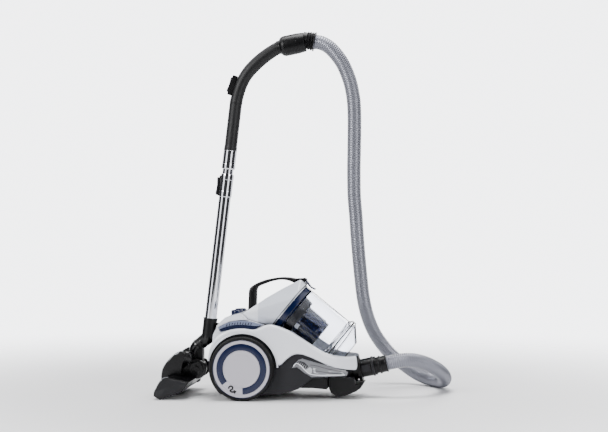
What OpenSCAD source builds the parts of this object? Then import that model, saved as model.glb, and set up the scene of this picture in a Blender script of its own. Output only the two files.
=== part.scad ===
// Cylinder (canister) vacuum cleaner with its wand parked upright at the back.
// +X points to the front, where the hose plugs in, +Z is up, and the floor is Z = 0.

/* [Body] */
// Half the width over the white side shells
body_half_w = 118; // [112:1:142]
// Wall of the white shells and covers
shell_wall = 3; // [2:0.5:4]
// Wall of the dark chassis
chassis_wall = 3; // [2:0.5:4]
// Gap between the tyre and the arch around it
arch_gap = 9; // [6:1:12]

/* [Rear wheels] */
// Radius of a rear wheel over its tyre
wheel_r = 89; // [74:0.5:90]
// Width of a rear tyre
tyre_w = 26; // [18:1:30]
// Depth of the tyre's rubber
tyre_depth = 9.5; // [7:0.5:12]
// Radius of a steel axle stub
axle_r = 6; // [4:0.5:8]

/* [Caster] */
// Radius of the front caster's wheel
caster_r = 14; // [12:0.5:15]
// Width of the front caster's wheel
caster_w = 14; // [10:1:18]
// Distance of the caster's axle behind its swivel
caster_trail = 8; // [6:1:9]

/* [Dust bin] */
// Outer radius of the clear cup
cup_r = 82; // [66:1:83]
// Length of the clear cup along its axis
cup_len = 151; // [140:1:152]
// Wall of the clear cup
cup_wall = 2.5; // [2:0.5:4]
// Length of the cone-shaped flap under the cup
flap_len = 40; // [30:1:42]
// Outer radius of the cyclone body
cyclone_r = 42; // [32:1:46]
// Length of the cyclone body
cyclone_len = 74; // [60:1:80]

/* [Controls] */
// Radius of a button on the rear cover
button_r = 17; // [12:1:18]
// How far a button pushes in
button_travel = 4; // [2:0.5:5]

/* [Hose] */
// Outer radius of the ribbed hose
hose_r = 20.5; // [16:0.5:21]
// Wall of the hose cuffs
cuff_wall = 2.5; // [2:0.5:4]

/* [Wand] */
// Outer radius of the lower chrome tube
tube_r = 17; // [14:0.5:18]
// Wall of the chrome tubes
tube_wall = 1.2; // [1:0.1:2]
// Length of the lower chrome tube above the neck
tube_len = 400; // [360:1:401]
// Outer radius of the black grip
grip_r = 18; // [17:0.5:20]

/* [Floor head] */
// Width of the floor head
head_w = 270; // [220:1:330]
// Wall of the floor head's shells
head_wall = 3; // [2:0.5:4]
// Radius of the pivot housing
pivot_r = 26; // [22:1:27]

/* [Hidden] */

$fn = 64;
soft_fn = 32;          // roundness of hull corners
big = 400;             // longer than the body, for cutting
run_fit = 0.05;        // radial clearance of a turning or sliding fit
part_gap = 0.5;        // gap between neighbouring pieces
slide_gap = 0.4;       // gap around a sliding or turning cover

// Layers across the width
well_y = body_half_w - 10;
shell_in_y = body_half_w - 22;
core_y = body_half_w - 24;
wheel_in_y = body_half_w - 6;
wheel_out_y = wheel_in_y + tyre_w;
disc_face_y = wheel_out_y - 3;

// Rear wheels
rear_axle = [-75.5, wheel_r];
arch_r = wheel_r + arch_gap;
disc_r = wheel_r - tyre_depth;
ring_r = disc_r - 10;
ring_w = 17;
ring_depth = 2.2;
ring_gap = [220, 273];

// Caster
swivel_x = 190;
stem_r = 6;
fork_top = 35;
pocket_r = caster_trail + caster_r + 4;

// Bin axis: a point on it, and its heading turned from straight up towards the front
bin_axis = [48.5, 240];
bin_heading = 129;
hood_s = -17;
lip_r = cup_r + 8;
hood_r = cup_r + 7;
collar_r = cup_r - 3;
lip_s = 150;
flap_s = 4 + cup_len + 3.5;
bin_clear_r = lip_r + 3;
flap_tip_r = lip_r - 42;

// Hose socket and connector axis
socket_point = [237.5, 79];
socket_heading = 78;
connector_r = 30;
connector_len = 52;
cuff_end = 83;
cuff_r = hose_r + cuff_wall;

// Wand: the top of the neck and the lean from upright
neck_top = [-187.6, 219.6];
wand_lean = 6.8;
neck_r = tube_r + 2.8;
sleeve_r = tube_r + 1.5;
sleeve_s = [350, 416];
inner_r = tube_r - tube_wall - slide_gap;
upper_r = tube_r + 2.25;
upper_s = [431, 484];
grip_straight = 124;

// Grip bends: radius and turn of each, one after another
grip_bends = [[250, 15], [150, 22], [300, 19]];
housing_heading = 79;
housing_r = 29;
housing_len = 84;
upper_cuff_end = [112, 1008.5];
upper_cuff_heading = 102;

// Floor head, in its own frame with the sole level and the pivot at the origin
head_pitch = 20;
sole_front = [-107, -42];
pivot_z = -(sole_front[0] * sin(head_pitch) + sole_front[1] * cos(head_pitch));
front_x = socket_point[0] + cuff_end * sin(socket_heading) + cuff_r * cos(socket_heading);
head_nose = [-117, -27];
pivot_x = -front_x - head_nose[0] * cos(head_pitch) + head_nose[1] * sin(head_pitch);
ear_w = 8;
barrel_half = 24;
pivot_pin_r = 5;
head_half = head_w / 2;

// Side outlines, as [X, Z] points
shell_outline = [[-171, 128], [-168, 146], [-160, 163], [-149, 177], [-136, 187], [-115, 195.5], [-91, 199.6],
                 [-64, 198.5], [-39, 192], [-17, 209.5], [5, 210.9], [30, 204], [57, 193], [88, 174],
                 [119, 154], [151, 134], [182, 123.5], [214, 119.5], [233.6, 122.8], [238, 100],
                 [238.5, 79.5], [208, 84.5], [176.6, 91.6], [154, 101.5], [133, 112], [110, 123],
                 [90, 129.5], [73, 130.5], [60, 125.5], [47, 115], [31, 98.5], [16, 84], [-40, 84], [-150, 84]];
cheek_outline = [[-40, 60], [-40, 83], [16, 83], [31, 97.5], [47, 114], [60, 124.5], [73, 129.5], [90, 128.5],
                 [110, 122], [133, 111], [154, 100.5], [176.6, 90.6], [208, 83.5], [236, 78.8], [234, 62.5],
                 [118, 62.5], [82, 34.2], [60, 26], [33, 19.5], [-24, 15.4], [-90, 15], [-140, 38]];
window_outline = [[60, 90], [70, 104], [79, 113.5], [90.4, 117.5], [150, 99.5], [214, 77.5], [210.9, 66],
                  [116, 66], [95, 79], [76, 93.5]];
undertray_outline = [[82.6, 34], [118.4, 62], [158, 62], [158, 31], [120, 34]];
bumper_outline = [[160, 61.5], [230, 61.5], [234, 41.5], [255, 41.5], [250, 33], [237, 22.8], [212, 12.5],
                  [188, 6], [166, 18], [160, 30]];
rear_top_outline = [[-141, 206.5], [-152, 201], [-143, 214.5], [-126.7, 229], [-105, 236], [-82.5, 241.6],
                    [-67, 223.5], [-84.5, 223], [-113, 219]];
rear_core_outline = [[-165.5, 150], [-163, 180], [-153, 200], [-143, 214.5], [-126.7, 229], [-105, 236],
                     [-82.5, 241.6], [-67, 223.5], [-40, 214.5], [-20, 208], [-20, 150]];
grille_outline = [[-143, 202], [-128, 212], [-106, 219], [-84.5, 222], [-50, 218.5], [-18.6, 210.3], [-39, 193.5],
                  [-64, 199.6], [-91, 200.7], [-115, 196.6], [-136, 188]];
hood_floor_outline = [[-120, 100], [-120, 242.5], [-82, 242.5], [-66.3, 224], [-40, 215.2], [-17, 210.8],
                      [20, 211.5], [20, 100]];
handle_outline = [[-78.5, 236], [-74.3, 302.8], [-71.9, 307.7], [-61.2, 316], [-39.3, 326.6], [-15.7, 333.2],
                  [14.4, 338.1], [41.2, 337.8], [57.9, 335.5], [82.9, 333.5], [84, 324], [53.8, 320],
                  [44.4, 326.6], [31, 330], [14.4, 330.6], [-9.2, 325.8], [-27.6, 319.2], [-46, 311.1],
                  [-51.8, 301.1], [-52.7, 279.8], [-53.6, 245]];
head_shell_outline = [[-107, -39.6], head_nose, [-113, -18], [-104, -10], [-90, 2], [-74, 10], [-58, 7],
                      [-42, -3], [-30, -10], [-9.4, -23.6], [-26, -34.5], [-40, -39.6]];
head_cover_outline = [[-103, -8], [-98, 12], [-87, 31.5], [-68, 47], [-41.5, 59], [-22, 63], [-12, 58],
                      [-14, 40], [-26, 28], [-38, 10], [-42, -2], [-58, 8], [-74, 11], [-90, 3]];

// Half of the body seen from above, as [X, Y] points
function plan_outline(half_w) = [[-200, 0], [-200, half_w], [70, half_w], [110, half_w - 3], [150, half_w - 13],
    [185, half_w - 30], [215, half_w - 49], [239, half_w - 68], [239, 0]];

// Hose route from the lower cuff to the upper one; the two lengths share the ring at the cut
hose_route = [[319, 0, 96.3], [352, 0, 103.3], [386, 10, 105], [420, 34, 96], [450, 72, 78], [470, 116, 58],
              [478, 160, 38], [472, 202, 25], [456, 238, 21], [428, 274, 22], [392, 298, 34], [350, 310, 60],
              [313, 310, 89], [284, 305, 123], [260, 295, 162], [242, 280, 211], [231, 260, 268],
              [224, 232, 352], [219, 203, 435], [216, 178, 510], [213, 155, 572], [214, 130, 640],
              [217, 105, 705], [220, 80, 768], [221, 60, 824], [218, 44, 864], [209, 31, 905],
              [190, 17, 950], [162, 5, 986], [136, 0, 1003.4], [112.3, 0, 1008.4]];
hose_cut = 19;
hose_sides = 10;
hose_guide = [0.5, 0.5, 0.7];

/* Helpers */

// Extrudes an [X, Z] outline across the width, from y_low to y_high
module side_prism(y_low, y_high) {
    translate([0, y_high, 0])
        rotate([90, 0, 0])
            linear_extrude(y_high - y_low)
                children();
}

// Draws its children and their mirror image in Y
module both_sides() {
    children();
    mirror([0, 1, 0]) children();
}

// Puts local +Z along a heading that is turned from straight up towards +X
module on_axis(point, heading) {
    translate([point[0], 0, point[1]])
        rotate([0, heading, 0])
            children();
}

// A tube or ring along local +Z, from low to high
module ring(outer_r, inner_r, low, high) {
    translate([0, 0, low])
        difference() {
            cylinder(r = outer_r, h = high - low);
            translate([0, 0, -1]) cylinder(r = inner_r, h = high - low + 2);
        }
}

// A cylinder along Y at an [X, Z] point
module cross_cylinder(point, r, y_low, y_high) {
    translate([point[0], y_high, point[1]])
        rotate([90, 0, 0])
            cylinder(r = r, h = y_high - y_low);
}

// A ring along Y at an [X, Z] point
module cross_ring(point, outer_r, inner_r, y_low, y_high) {
    translate([point[0], y_high, point[1]])
        rotate([90, 0, 0])
            ring(outer_r, inner_r, 0, y_high - y_low);
}

// A turned shape about local +Z, from [radius, height] points
module turned(points) {
    rotate_extrude() polygon(points);
}

function unit(v) = v / norm(v);

// Direction of a path at point i
function heading_at(path, i) =
    unit(path[min(i + 1, len(path) - 1)] - path[max(i - 1, 0)]);

// One ring of points around a path; both ring axes are square to the path
function ring_points(centre, along, guide, r, sides) =
    let (a = unit(cross(along, guide)), b = cross(along, a))
    [for (k = [0 : sides - 1]) centre + r * (cos(360 * k / sides) * a + sin(360 * k / sides) * b)];

// A closed round tube swept along a path, from point first to point end
module swept_tube(path, first, end, r, sides, guide) {
    last = end - first;
    points = [for (i = [first : end]) each ring_points(path[i], heading_at(path, i), guide, r, sides)];
    walls = [for (i = [0 : last - 1], k = [0 : sides - 1])
        let (m = (k + 1) % sides)
        each [[i * sides + k, i * sides + m, (i + 1) * sides + k],
              [i * sides + m, (i + 1) * sides + m, (i + 1) * sides + k]]];
    start_cap = [[for (k = [0 : sides - 1]) sides - 1 - k]];
    end_cap = [[for (k = [0 : sides - 1]) last * sides + k]];
    polyhedron(points, concat(walls, start_cap, end_cap), convexity = 10);
}

// A flat band of even thickness along a line of [X, Z] points
function side_of(path, i) = let (h = heading_at(path, i)) [-h[1], h[0]];
function band(path, half) = concat(
    [for (i = [0 : len(path) - 1]) path[i] + half * side_of(path, i)],
    [for (i = [len(path) - 1 : -1 : 0]) path[i] - half * side_of(path, i)]);

// Grip path: where each bend starts, worked out from the bends before it
function heading_vector(h) = [sin(h), cos(h)];
function bend_heading(i) = i == 0 ? wand_lean : bend_heading(i - 1) + grip_bends[i - 1][1];
function arc_step(p, h, r, turn) = p + 2 * r * sin(turn / 2) * heading_vector(h + turn / 2);
grip_start = neck_top + (upper_s[1] + 0.2) * heading_vector(wand_lean);
bend_origin = grip_start + grip_straight * heading_vector(wand_lean);
function bend_start(i) = i == 0 ? bend_origin
    : arc_step(bend_start(i - 1), bend_heading(i - 1), grip_bends[i - 1][0], grip_bends[i - 1][1]);
housing_start = bend_start(len(grip_bends));

// The grip's bends as [X, Z] points, from its foot to the start of the swivel housing
function grip_bend_line() = concat([grip_start],
    [for (i = [0 : len(grip_bends) - 1], k = [0 : bend_steps - 1])
        arc_step(bend_start(i), bend_heading(i), grip_bends[i][0], k * grip_bends[i][1] / bend_steps)],
    [housing_start]);

// Hollow pipe along a line of [X, Z] points; each ring has its own outer radius
module swept_pipe(line, radii, wall, sides) {
    path = [for (q = line) [q[0], 0, q[1]]];
    rings = len(path);
    turns = rings * sides;
    points = [for (inset = [0, wall], i = [0 : rings - 1])
        each ring_points(path[i], heading_at(path, i), [0, 1, 0], radii[i] - inset, sides)];
    outside = [for (i = [0 : rings - 2], k = [0 : sides - 1])
        let (m = (k + 1) % sides, a = i * sides)
        each [[a + k, a + m, a + sides + k], [a + m, a + sides + m, a + sides + k]]];
    inside = [for (i = [0 : rings - 2], k = [0 : sides - 1])
        let (m = (k + 1) % sides, a = turns + i * sides)
        each [[a + k, a + sides + k, a + m], [a + m, a + sides + k, a + sides + m]]];
    ends = [for (k = [0 : sides - 1])
        let (m = (k + 1) % sides, z = turns - sides)
        each [[k, turns + k, turns + m, m], [z + k, z + m, turns + z + m, turns + z + k]]];
    polyhedron(points, concat(outside, inside, ends), convexity = 10);
}

// The space that the bin takes, with clearance
module bin_space() {
    cone_clear = 8;
    on_axis(bin_axis, bin_heading)
        turned([[0, hood_s - 3], [bin_clear_r, hood_s - 3], [bin_clear_r, flap_s + 5],
                [flap_tip_r + cone_clear, flap_s + flap_len + 4], [0, flap_s + flap_len + 4]]);
}

/* Fixed body */

// Skin of a side shell: the outline drawn in by an inset, inside the plan
module shell_block(inset) {
    intersection() {
        side_prism(0, body_half_w + 1)
            offset(delta = -inset)
                difference() {
                    polygon(shell_outline);
                    translate(rear_axle) circle(r = arch_r, $fn = 96);
                    translate([-big, -big]) square([big - 20, big + 84]);
                }
        translate([0, 0, 60])
            linear_extrude(180)
                offset(delta = -inset)
                    polygon(plan_outline(body_half_w));
    }
}

module side_shell() {
    difference() {
        shell_block(0);
        shell_block(shell_wall);
        translate([-big, -1, 0]) cube([big + 150, shell_in_y + 1, big]);
        translate([149, -1, 0]) cube([60, shell_in_y - 40, big]);
        translate([208, -1, 0]) cube([60, connector_r + 8, big]);
        bin_space();
    }
}

module side_shell_left() {
    color("whitesmoke") side_shell();
}

module side_shell_right() {
    color("whitesmoke") mirror([0, 1, 0]) side_shell();
}

// Outline of the chassis tub: the cheeks and the disc behind each wheel
module tub_outline() {
    union() {
        polygon(cheek_outline);
        intersection() {
            translate(rear_axle) circle(r = arch_r - part_gap, $fn = 96);
            translate([-big, 15]) square([2 * big, 2 * big]);
        }
    }
}

module tub_block(inset) {
    intersection() {
        side_prism(-well_y + inset, well_y - inset) offset(delta = -inset) tub_outline();
        translate([0, 0, -1])
            linear_extrude(260)
                offset(delta = -inset - part_gap)
                    both_sides() polygon(plan_outline(well_y));
    }
}

module chassis() {
    color("dimgray") difference() {
        tub_block(0);
        tub_block(chassis_wall);
        side_prism(-core_y, core_y)
            polygon([[-148, 120], [-148, 300], [260, 300], [260, -10], [78, -10], [60, 120]]);
        side_prism(-body_half_w, body_half_w) offset(delta = part_gap) polygon(window_outline);
        both_sides() cross_cylinder(rear_axle, axle_r + run_fit, core_y, body_half_w);
        bin_space();
    }
}

module undertray() {
    color("black") difference() {
        side_prism(-core_y + 2, core_y - 2) polygon(undertray_outline);
        side_prism(-core_y + 5, core_y - 5) translate([0, 4]) offset(delta = -chassis_wall)
            polygon([[75, 30], [110, 90], [158.5, 90], [158.5, 33], [120, 34]]);
        translate([150, -duct_half - part_gap, duct_low - part_gap]) cube([12, 2 * duct_half + 1, 40]);
        bin_space();
    }
}

module rear_skin(inset) {
    side_prism(-well_y + inset, well_y - inset) offset(delta = -inset) polygon(rear_top_outline);
    side_prism(-core_y + inset + 1, core_y - inset - 1) offset(delta = -inset) polygon(rear_core_outline);
}

button_place = [-105, 31, 232];
button_tilt = -2;

// Puts its children on the rear cover's slope, at the power or the rewind button
module at_button(side) {
    translate([button_place[0], side * button_place[1], button_place[2]])
        rotate([0, button_tilt, 0])
            children();
}

module rear_cover() {
    color("whitesmoke") difference() {
        rear_skin(0);
        rear_skin(shell_wall);
        translate([-150, -core_y + 4, 100]) cube([200, 2 * core_y - 8, 53.5]);
        translate([-24, -core_y + 4, 100]) cube([20, 2 * core_y - 8, 104]);
        for (side = [-1, 1])
            at_button(side) translate([0, 0, -20]) cylinder(r = button_r + slide_gap, h = 60);
        translate([-180, -park_half - part_gap, park_low - part_gap])
            cube([180 + park_front + part_gap, 2 * park_half + 2 * part_gap, 60]);
        for (side = [-1, 1], x = screw_xs)
            translate([x, side * screw_y, 0]) cylinder(r = screw_r + slide_gap, h = big);
        translate([0, 0, -0.1]) tub_clear();
        gland_cut();
        bin_space();
    }
}

// Keeps the rear cover off the chassis tub
module tub_clear() {
    side_prism(-well_y - 1, well_y + 1)
        offset(delta = part_gap)
            tub_outline();
}

// Park socket for the wand's hook
park_half = 18;
park_low = 172;
park_high = 197.5;
park_front = -148;
park_slot = [-165, -157];

module park_socket() {
    color("black") difference() {
        translate([-169, -park_half, park_low]) cube([169 + park_front, 2 * park_half, park_high - park_low]);
        translate([park_slot[0], -hook_half - 1.5, park_low - 1])
            cube([park_slot[1] - park_slot[0], 2 * hook_half + 3, park_high - park_low + 2]);
    }
}

module exhaust_grille() {
    louvres = 9;
    difference() {
        side_prism(core_y + part_gap, body_half_w - 6) polygon(grille_outline);
        side_prism(core_y, body_half_w - 6 - shell_wall)
            offset(delta = -shell_wall)
                polygon(grille_outline);
        for (k = [0 : louvres - 1])
            translate([-118 + 9 * k, body_half_w - 12, 204]) cube([4, 10, 7]);
    }
}

module exhaust_grille_left() {
    color("slateblue") exhaust_grille();
}

module exhaust_grille_right() {
    color("slateblue") mirror([0, 1, 0]) exhaust_grille();
}

// Motor, fan and reel stand side by side between the wheels
power_axis = [-85, 105];
motor_y = [-core_y + 14, -8];
motor_r = 50;
mount_r = 56;
shaft_r = 4;

module exhaust_filter() {
    color("gainsboro") translate([-132, 14, 176]) cube([66, core_y - 24, 14]);
}

module motor_housing() {
    color("lightgray") difference() {
        cross_cylinder(power_axis, motor_r, motor_y[0], motor_y[1]);
        cross_cylinder(power_axis, motor_r - 3, motor_y[0] + 4, motor_y[1] - 4);
        cross_cylinder(power_axis, shaft_r + run_fit, motor_y[0] - 1, motor_y[1] + 1);
    }
}

module motor_mounts() {
    color("black") for (y = [motor_y[0] + 4, motor_y[1] - 12])
        cross_ring(power_axis, mount_r, motor_r + run_fit, y, y + 8);
}

module motor_rotor() {
    middle = (motor_y[0] + motor_y[1]) / 2;
    color("silver") {
        cross_cylinder(power_axis, shaft_r, motor_y[0] + 1, motor_y[1] + 2);
        cross_ring(power_axis, 26, shaft_r - 0.5, middle - 4, motor_y[1] - 12);
        cross_ring(power_axis, 42, shaft_r - 0.5, motor_y[0] + 8, motor_y[0] + 22);
    }
}

reel_y = [10, core_y - 8];
spindle_r = 8;

module reel_bracket() {
    color("dimgray") {
        difference() {
            side_prism(0, 4) polygon([[-150, 60], [-150, 118], [-138, 164], [-30, 164], [-10, 118], [-10, 60],
                                      [-40, 24], [-120, 24]]);
            cross_cylinder(power_axis, 14, -1, 5);
        }
        cross_ring(power_axis, 14.5, 6, 0, 4);
        cross_ring(power_axis, spindle_r, spindle_r - 2, 3, core_y - 5);
    }
}

module cable_reel() {
    color("darkslategray") difference() {
        union() {
            cross_cylinder(power_axis, 24, reel_y[0], reel_y[1]);
            cross_cylinder(power_axis, 58, reel_y[0], reel_y[0] + 3);
            cross_cylinder(power_axis, 58, reel_y[1] - 3, reel_y[1]);
        }
        cross_cylinder(power_axis, spindle_r + run_fit, 0, core_y);
    }
}

module circuit_board() {
    color("seagreen") translate([-140, -60, 170]) {
        cube([60, 40, 1.6]);
        translate([8, 8, 1.6]) cube([16, 12, 10]);
        translate([34, 10, 1.6]) cube([14, 14, 12]);
    }
}

module pre_motor_filter() {
    color("gold") translate([-60, -60, 176]) cube([26, 120, 22]);
}

// Intake: a flat channel in the undertray with a riser to the cup and a neck to the socket
duct_half = 34;
duct_wall = 2;
duct_low = 42;
pipe_r = 21;

module intake_block(inset) {
    side_prism(-duct_half + inset, duct_half - inset)
        offset(delta = -inset)
            polygon([[86, duct_low], [86, 74], [102, 74], [102, 58], [214, 58], [214, duct_low]]);
    on_axis(socket_point, socket_heading)
        translate([0, 0, -34 - inset]) cylinder(r = pipe_r - inset, h = 33 + 2 * inset);
}

module intake_duct() {
    color("slategray") difference() {
        intake_block(0);
        intake_block(duct_wall);
        translate([88.5, -duct_half + 3, 70]) cube([11, 2 * duct_half - 6, 10]);
    }
}

module duct_windows() {
    color("darkgray") both_sides()
        intersection() {
            side_prism(core_y - 60, well_y - 1) polygon(window_outline);
            difference() {
                linear_extrude(160) offset(delta = -part_gap - 1) polygon(plan_outline(well_y));
                linear_extrude(160) offset(delta = -part_gap - 4) polygon(plan_outline(well_y));
            }
        }
}

flange_r = 36;
flange_t = 9;
plug_r = 24;

module hose_socket() {
    color("black") on_axis(socket_point, socket_heading) difference() {
        union() {
            intersection() {
                cylinder(r = flange_r, h = flange_t);
                translate([-flange_r, -flange_r + 4, 0]) cube([2 * flange_r, 2 * flange_r - 8, flange_t]);
            }
            translate([0, 0, -16]) cylinder(r = plug_r + 4, h = 17);
        }
        translate([0, 0, -17]) cylinder(r = pipe_r + slide_gap, h = 20);
        translate([0, 0, -0.5]) cylinder(r = plug_r + slide_gap, h = 20);
    }
}

module front_bumper() {
    color("black") difference() {
        side_prism(-60, 60) polygon(bumper_outline);
        translate([swivel_x, 0, -1]) cylinder(r = pocket_r, h = fork_top + 2);
        translate([swivel_x, 0, 0]) cylinder(r = stem_r + run_fit, h = duct_low);
        translate([159, -duct_half - 1, duct_low - part_gap]) cube([75, 2 * duct_half + 2, 30]);
        on_axis(socket_point, socket_heading)
            translate([0, 0, -40]) cylinder(r = plug_r + 5, h = 60);
        on_axis(socket_point, socket_heading)
            translate([0, 0, -0.5]) cylinder(r = flange_r + 1, h = connector_len);
        bin_space();
    }
}

// Cord outlet at the back, above the parked floor head
gland_y = 50;
gland_z = 168;
gland_r = 11;
gland_bore_r = 4.5;
gland_x = -178;

module gland_cut() {
    translate([gland_x - 2, gland_y, gland_z]) rotate([0, 90, 0]) cylinder(r = gland_r + part_gap, h = 40);
}

module cord_gland() {
    color("black") translate([gland_x, gland_y, gland_z]) rotate([0, 90, 0]) difference() {
        cylinder(r = gland_r, h = 20);
        translate([0, 0, -1]) cylinder(r = gland_bore_r, h = 22);
    }
}

module wheel_axles() {
    color("silver") both_sides() {
        cross_cylinder(rear_axle, axle_r, core_y + 2, disc_face_y - 6);
        cross_cylinder(rear_axle, axle_r + 5, core_y + 2, well_y - chassis_wall - part_gap);
    }
}

screw_xs = [-128, -84];
screw_y = body_half_w - 36;
screw_r = 2;

module cover_screws() {
    color("silver") for (side = [-1, 1], x = screw_xs)
        translate([x, side * screw_y, 214]) {
            translate([0, 0, -18]) cylinder(r = screw_r, h = 19);
            cylinder(r = screw_r + 1.6, h = 2.4);
        }
}

module push_button() {
    turned([[0, -6], [button_r - 3, -6], [button_r - 3, -4], [button_r, -4], [button_r, 8], [button_r - 3, 11],
            [0, 11]]);
}

module power_button() {
    color("navy") at_button(-1) push_button();
}

module rewind_button() {
    color("navy") at_button(1) push_button();
}

/* Rear wheels */

module tyre() {
    color("black") translate([rear_axle[0], wheel_out_y, rear_axle[1]]) rotate([90, 0, 0])
        turned([[disc_r, 0], [wheel_r - 4, 0], [wheel_r - 1, 1.5], [wheel_r, 5], [wheel_r, tyre_w - 5],
                [wheel_r - 1, tyre_w - 1.5], [wheel_r - 4, tyre_w], [disc_r, tyre_w]]);
}

module wheel_disc() {
    color("thistle") difference() {
        union() {
            cross_ring(rear_axle, disc_r - run_fit, disc_r - 4, wheel_in_y + 2, disc_face_y);
            cross_cylinder(rear_axle, disc_r - run_fit, disc_face_y - 5, disc_face_y);
            cross_cylinder(rear_axle, axle_r + 6, wheel_in_y, disc_face_y - 1);
        }
        cross_cylinder(rear_axle, axle_r + run_fit, wheel_in_y - 1, disc_face_y - 5.5);
        cross_ring(rear_axle, ring_r + 0.1, ring_r - ring_w - 0.1, disc_face_y - ring_depth, disc_face_y + 1);
    }
}

module wheel_ring() {
    color("navy") difference() {
        cross_ring(rear_axle, ring_r, ring_r - ring_w, disc_face_y - ring_depth + 0.1, disc_face_y + 0.4);
        translate([rear_axle[0], disc_face_y + 2, rear_axle[1]]) rotate([90, 0, 0])
            linear_extrude(6)
                polygon([[0, 0], 2 * ring_r * [cos(ring_gap[0]), sin(ring_gap[0])],
                         3 * ring_r * [cos(246), sin(246)],
                         2 * ring_r * [cos(ring_gap[1]), sin(ring_gap[1])]]);
    }
}

module tyre_left() {
    tyre();
}

module tyre_right() {
    mirror([0, 1, 0]) tyre();
}

module wheel_disc_left() {
    wheel_disc();
}

module wheel_disc_right() {
    mirror([0, 1, 0]) wheel_disc();
}

module wheel_ring_left() {
    wheel_ring();
}

module wheel_ring_right() {
    mirror([0, 1, 0]) wheel_ring();
}

/* Front caster */

caster_axle = [swivel_x - caster_trail, caster_r];
caster_pin_r = 2.5;

module caster_fork() {
    cheek = caster_w / 2 + 1;
    color("dimgray") {
        translate([swivel_x, 0, fork_top - 1]) cylinder(r = stem_r, h = duct_low - fork_top);
        translate([swivel_x, 0, fork_top - 4]) cylinder(r = 15, h = 4);
        both_sides() difference() {
            side_prism(cheek, cheek + 3) polygon([[caster_axle[0] - 6, 8], [caster_axle[0] + 6, 8],
                                                  [swivel_x + 8, fork_top - 3], [swivel_x - 8, fork_top - 3]]);
        }
        cross_cylinder(caster_axle, caster_pin_r, -cheek - 2, cheek + 2);
    }
}

module caster_wheel() {
    color("gray") difference() {
        cross_cylinder(caster_axle, caster_r, -caster_w / 2, caster_w / 2);
        cross_cylinder(caster_axle, caster_pin_r + run_fit, -caster_w, caster_w);
    }
}

/* Dust bin */

// Solid form of the hood: the round mouth drawn back to the rear seam
module hood_form(inset) {
    hull() {
        on_axis(bin_axis, bin_heading) translate([0, 0, hood_s - 3 + inset / 3])
            cylinder(r = hood_r - inset, h = 3 - inset / 3, $fn = soft_fn);
        cross_cylinder([-74, 233.5], 8 - inset, -78 + inset, 78 - inset, $fn = soft_fn);
        cross_cylinder([-10, 276], 9 - inset, -56 + inset, 56 - inset, $fn = soft_fn);
        cross_cylinder([33, 301], 9 - inset, -40 + inset, 40 - inset, $fn = soft_fn);
        cross_cylinder([75, 325.5], 6 - inset, -24 + inset, 24 - inset, $fn = soft_fn);
    }
}

module bin_hood() {
    color("white") difference() {
        hood_form(0);
        hood_form(shell_wall);
        side_prism(-big, big) polygon(hood_floor_outline);
        on_axis(bin_axis, bin_heading) translate([0, 0, hood_s]) cylinder(r = big, h = big);
        on_axis(bin_axis, bin_heading)
            translate([0, 0, hood_s - 20]) cylinder(r = collar_r - 6, h = 30);
    }
}

handle_half_w = 15;

module carry_handle() {
    color("black") {
        difference() {
            side_prism(-handle_half_w, handle_half_w) {
                polygon(handle_outline);
                polygon([[70, 334], [86, 336.5], [92, 332], [88, 327], [72, 322]]);
            }
            translate([0, 0, 0.3]) hood_form(0);
            side_prism(-latch_half - 0.4, latch_half + 0.4)
                translate([latch_pivot[0] - 5, latch_pivot[1] - 20]) square([40, 40]);
        }
        cross_cylinder(latch_pivot, latch_pin_r, -latch_half - 2, latch_half + 2);
    }
}

latch_pivot = [87, 331.5];
latch_half = 10;
latch_half_t = 2;
latch_pin_r = 1.8;

module bin_latch() {
    color("navy") difference() {
        union() {
            side_prism(-latch_half, latch_half)
                polygon(band([latch_pivot, [92, 324.5], [98.5, 315.5], [104.5, 309.5], [115, 304.5]], latch_half_t));
            cross_cylinder(latch_pivot, latch_pin_r + 2, -latch_half, latch_half);
        }
        cross_cylinder(latch_pivot, latch_pin_r + run_fit, -latch_half - 1, latch_half + 1);
    }
}

module bin_cup() {
    color([0.9, 0.93, 0.96, 0.35]) on_axis(bin_axis, bin_heading)
        turned([[cup_r - cup_wall, 4], [cup_r, 4], [cup_r, lip_s - 3], [lip_r, lip_s], [lip_r, 4 + cup_len],
                [cup_r - cup_wall, 4 + cup_len]]);
}

module bin_collar() {
    color("navy") on_axis(bin_axis, bin_heading)
        turned([[cyclone_r - 6, 0], [collar_r - 4, 0], [collar_r - 4, hood_s + 0.5], [collar_r, hood_s + 0.5],
                [collar_r, 3.5], [cyclone_r - 6, 3.5]]);
}

neck_len = 27;

module cyclone() {
    neck = cyclone_r - 5;
    body_s = 4 + neck_len;
    end_s = body_s + cyclone_len;
    color("navy") on_axis(bin_axis, bin_heading)
        turned([[neck - 2, 4], [neck, 4], [neck, body_s], [cyclone_r, body_s + 2], [cyclone_r - 4, end_s],
                [cyclone_r - 9, end_s], [cyclone_r - 9, end_s - 2], [cyclone_r - 6, end_s - 2],
                [cyclone_r - 2, body_s + 4], [neck - 2, body_s + 2]]);
}

module cyclone_shroud() {
    color("darkslategray") on_axis(bin_axis, bin_heading)
        turned([[cyclone_r + 15, 4.2], [cyclone_r + 17, 4.2], [cyclone_r + 13, 30], [cyclone_r + 11, 30]]);
}

module bin_flap() {
    end_s = flap_s + flap_len;
    color([0.9, 0.93, 0.96, 0.35]) on_axis(bin_axis, bin_heading) {
        turned([[0, end_s - cup_wall], [flap_tip_r - cup_wall, end_s - cup_wall], [lip_r - 4 - cup_wall, flap_s + 3],
                [lip_r - 8, flap_s + 3], [lip_r - 8, flap_s], [lip_r, flap_s], [lip_r, flap_s + 3],
                [lip_r - 3, flap_s + 3.5], [flap_tip_r, end_s], [0, end_s]]);
        translate([-lip_r - 3, -14, flap_s]) cube([6, 28, 3]);
        translate([-lip_r - 3, -14, flap_s - 8]) cube([2.5, 28, 9]);
    }
}

/* Hose ends and hose */

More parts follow.
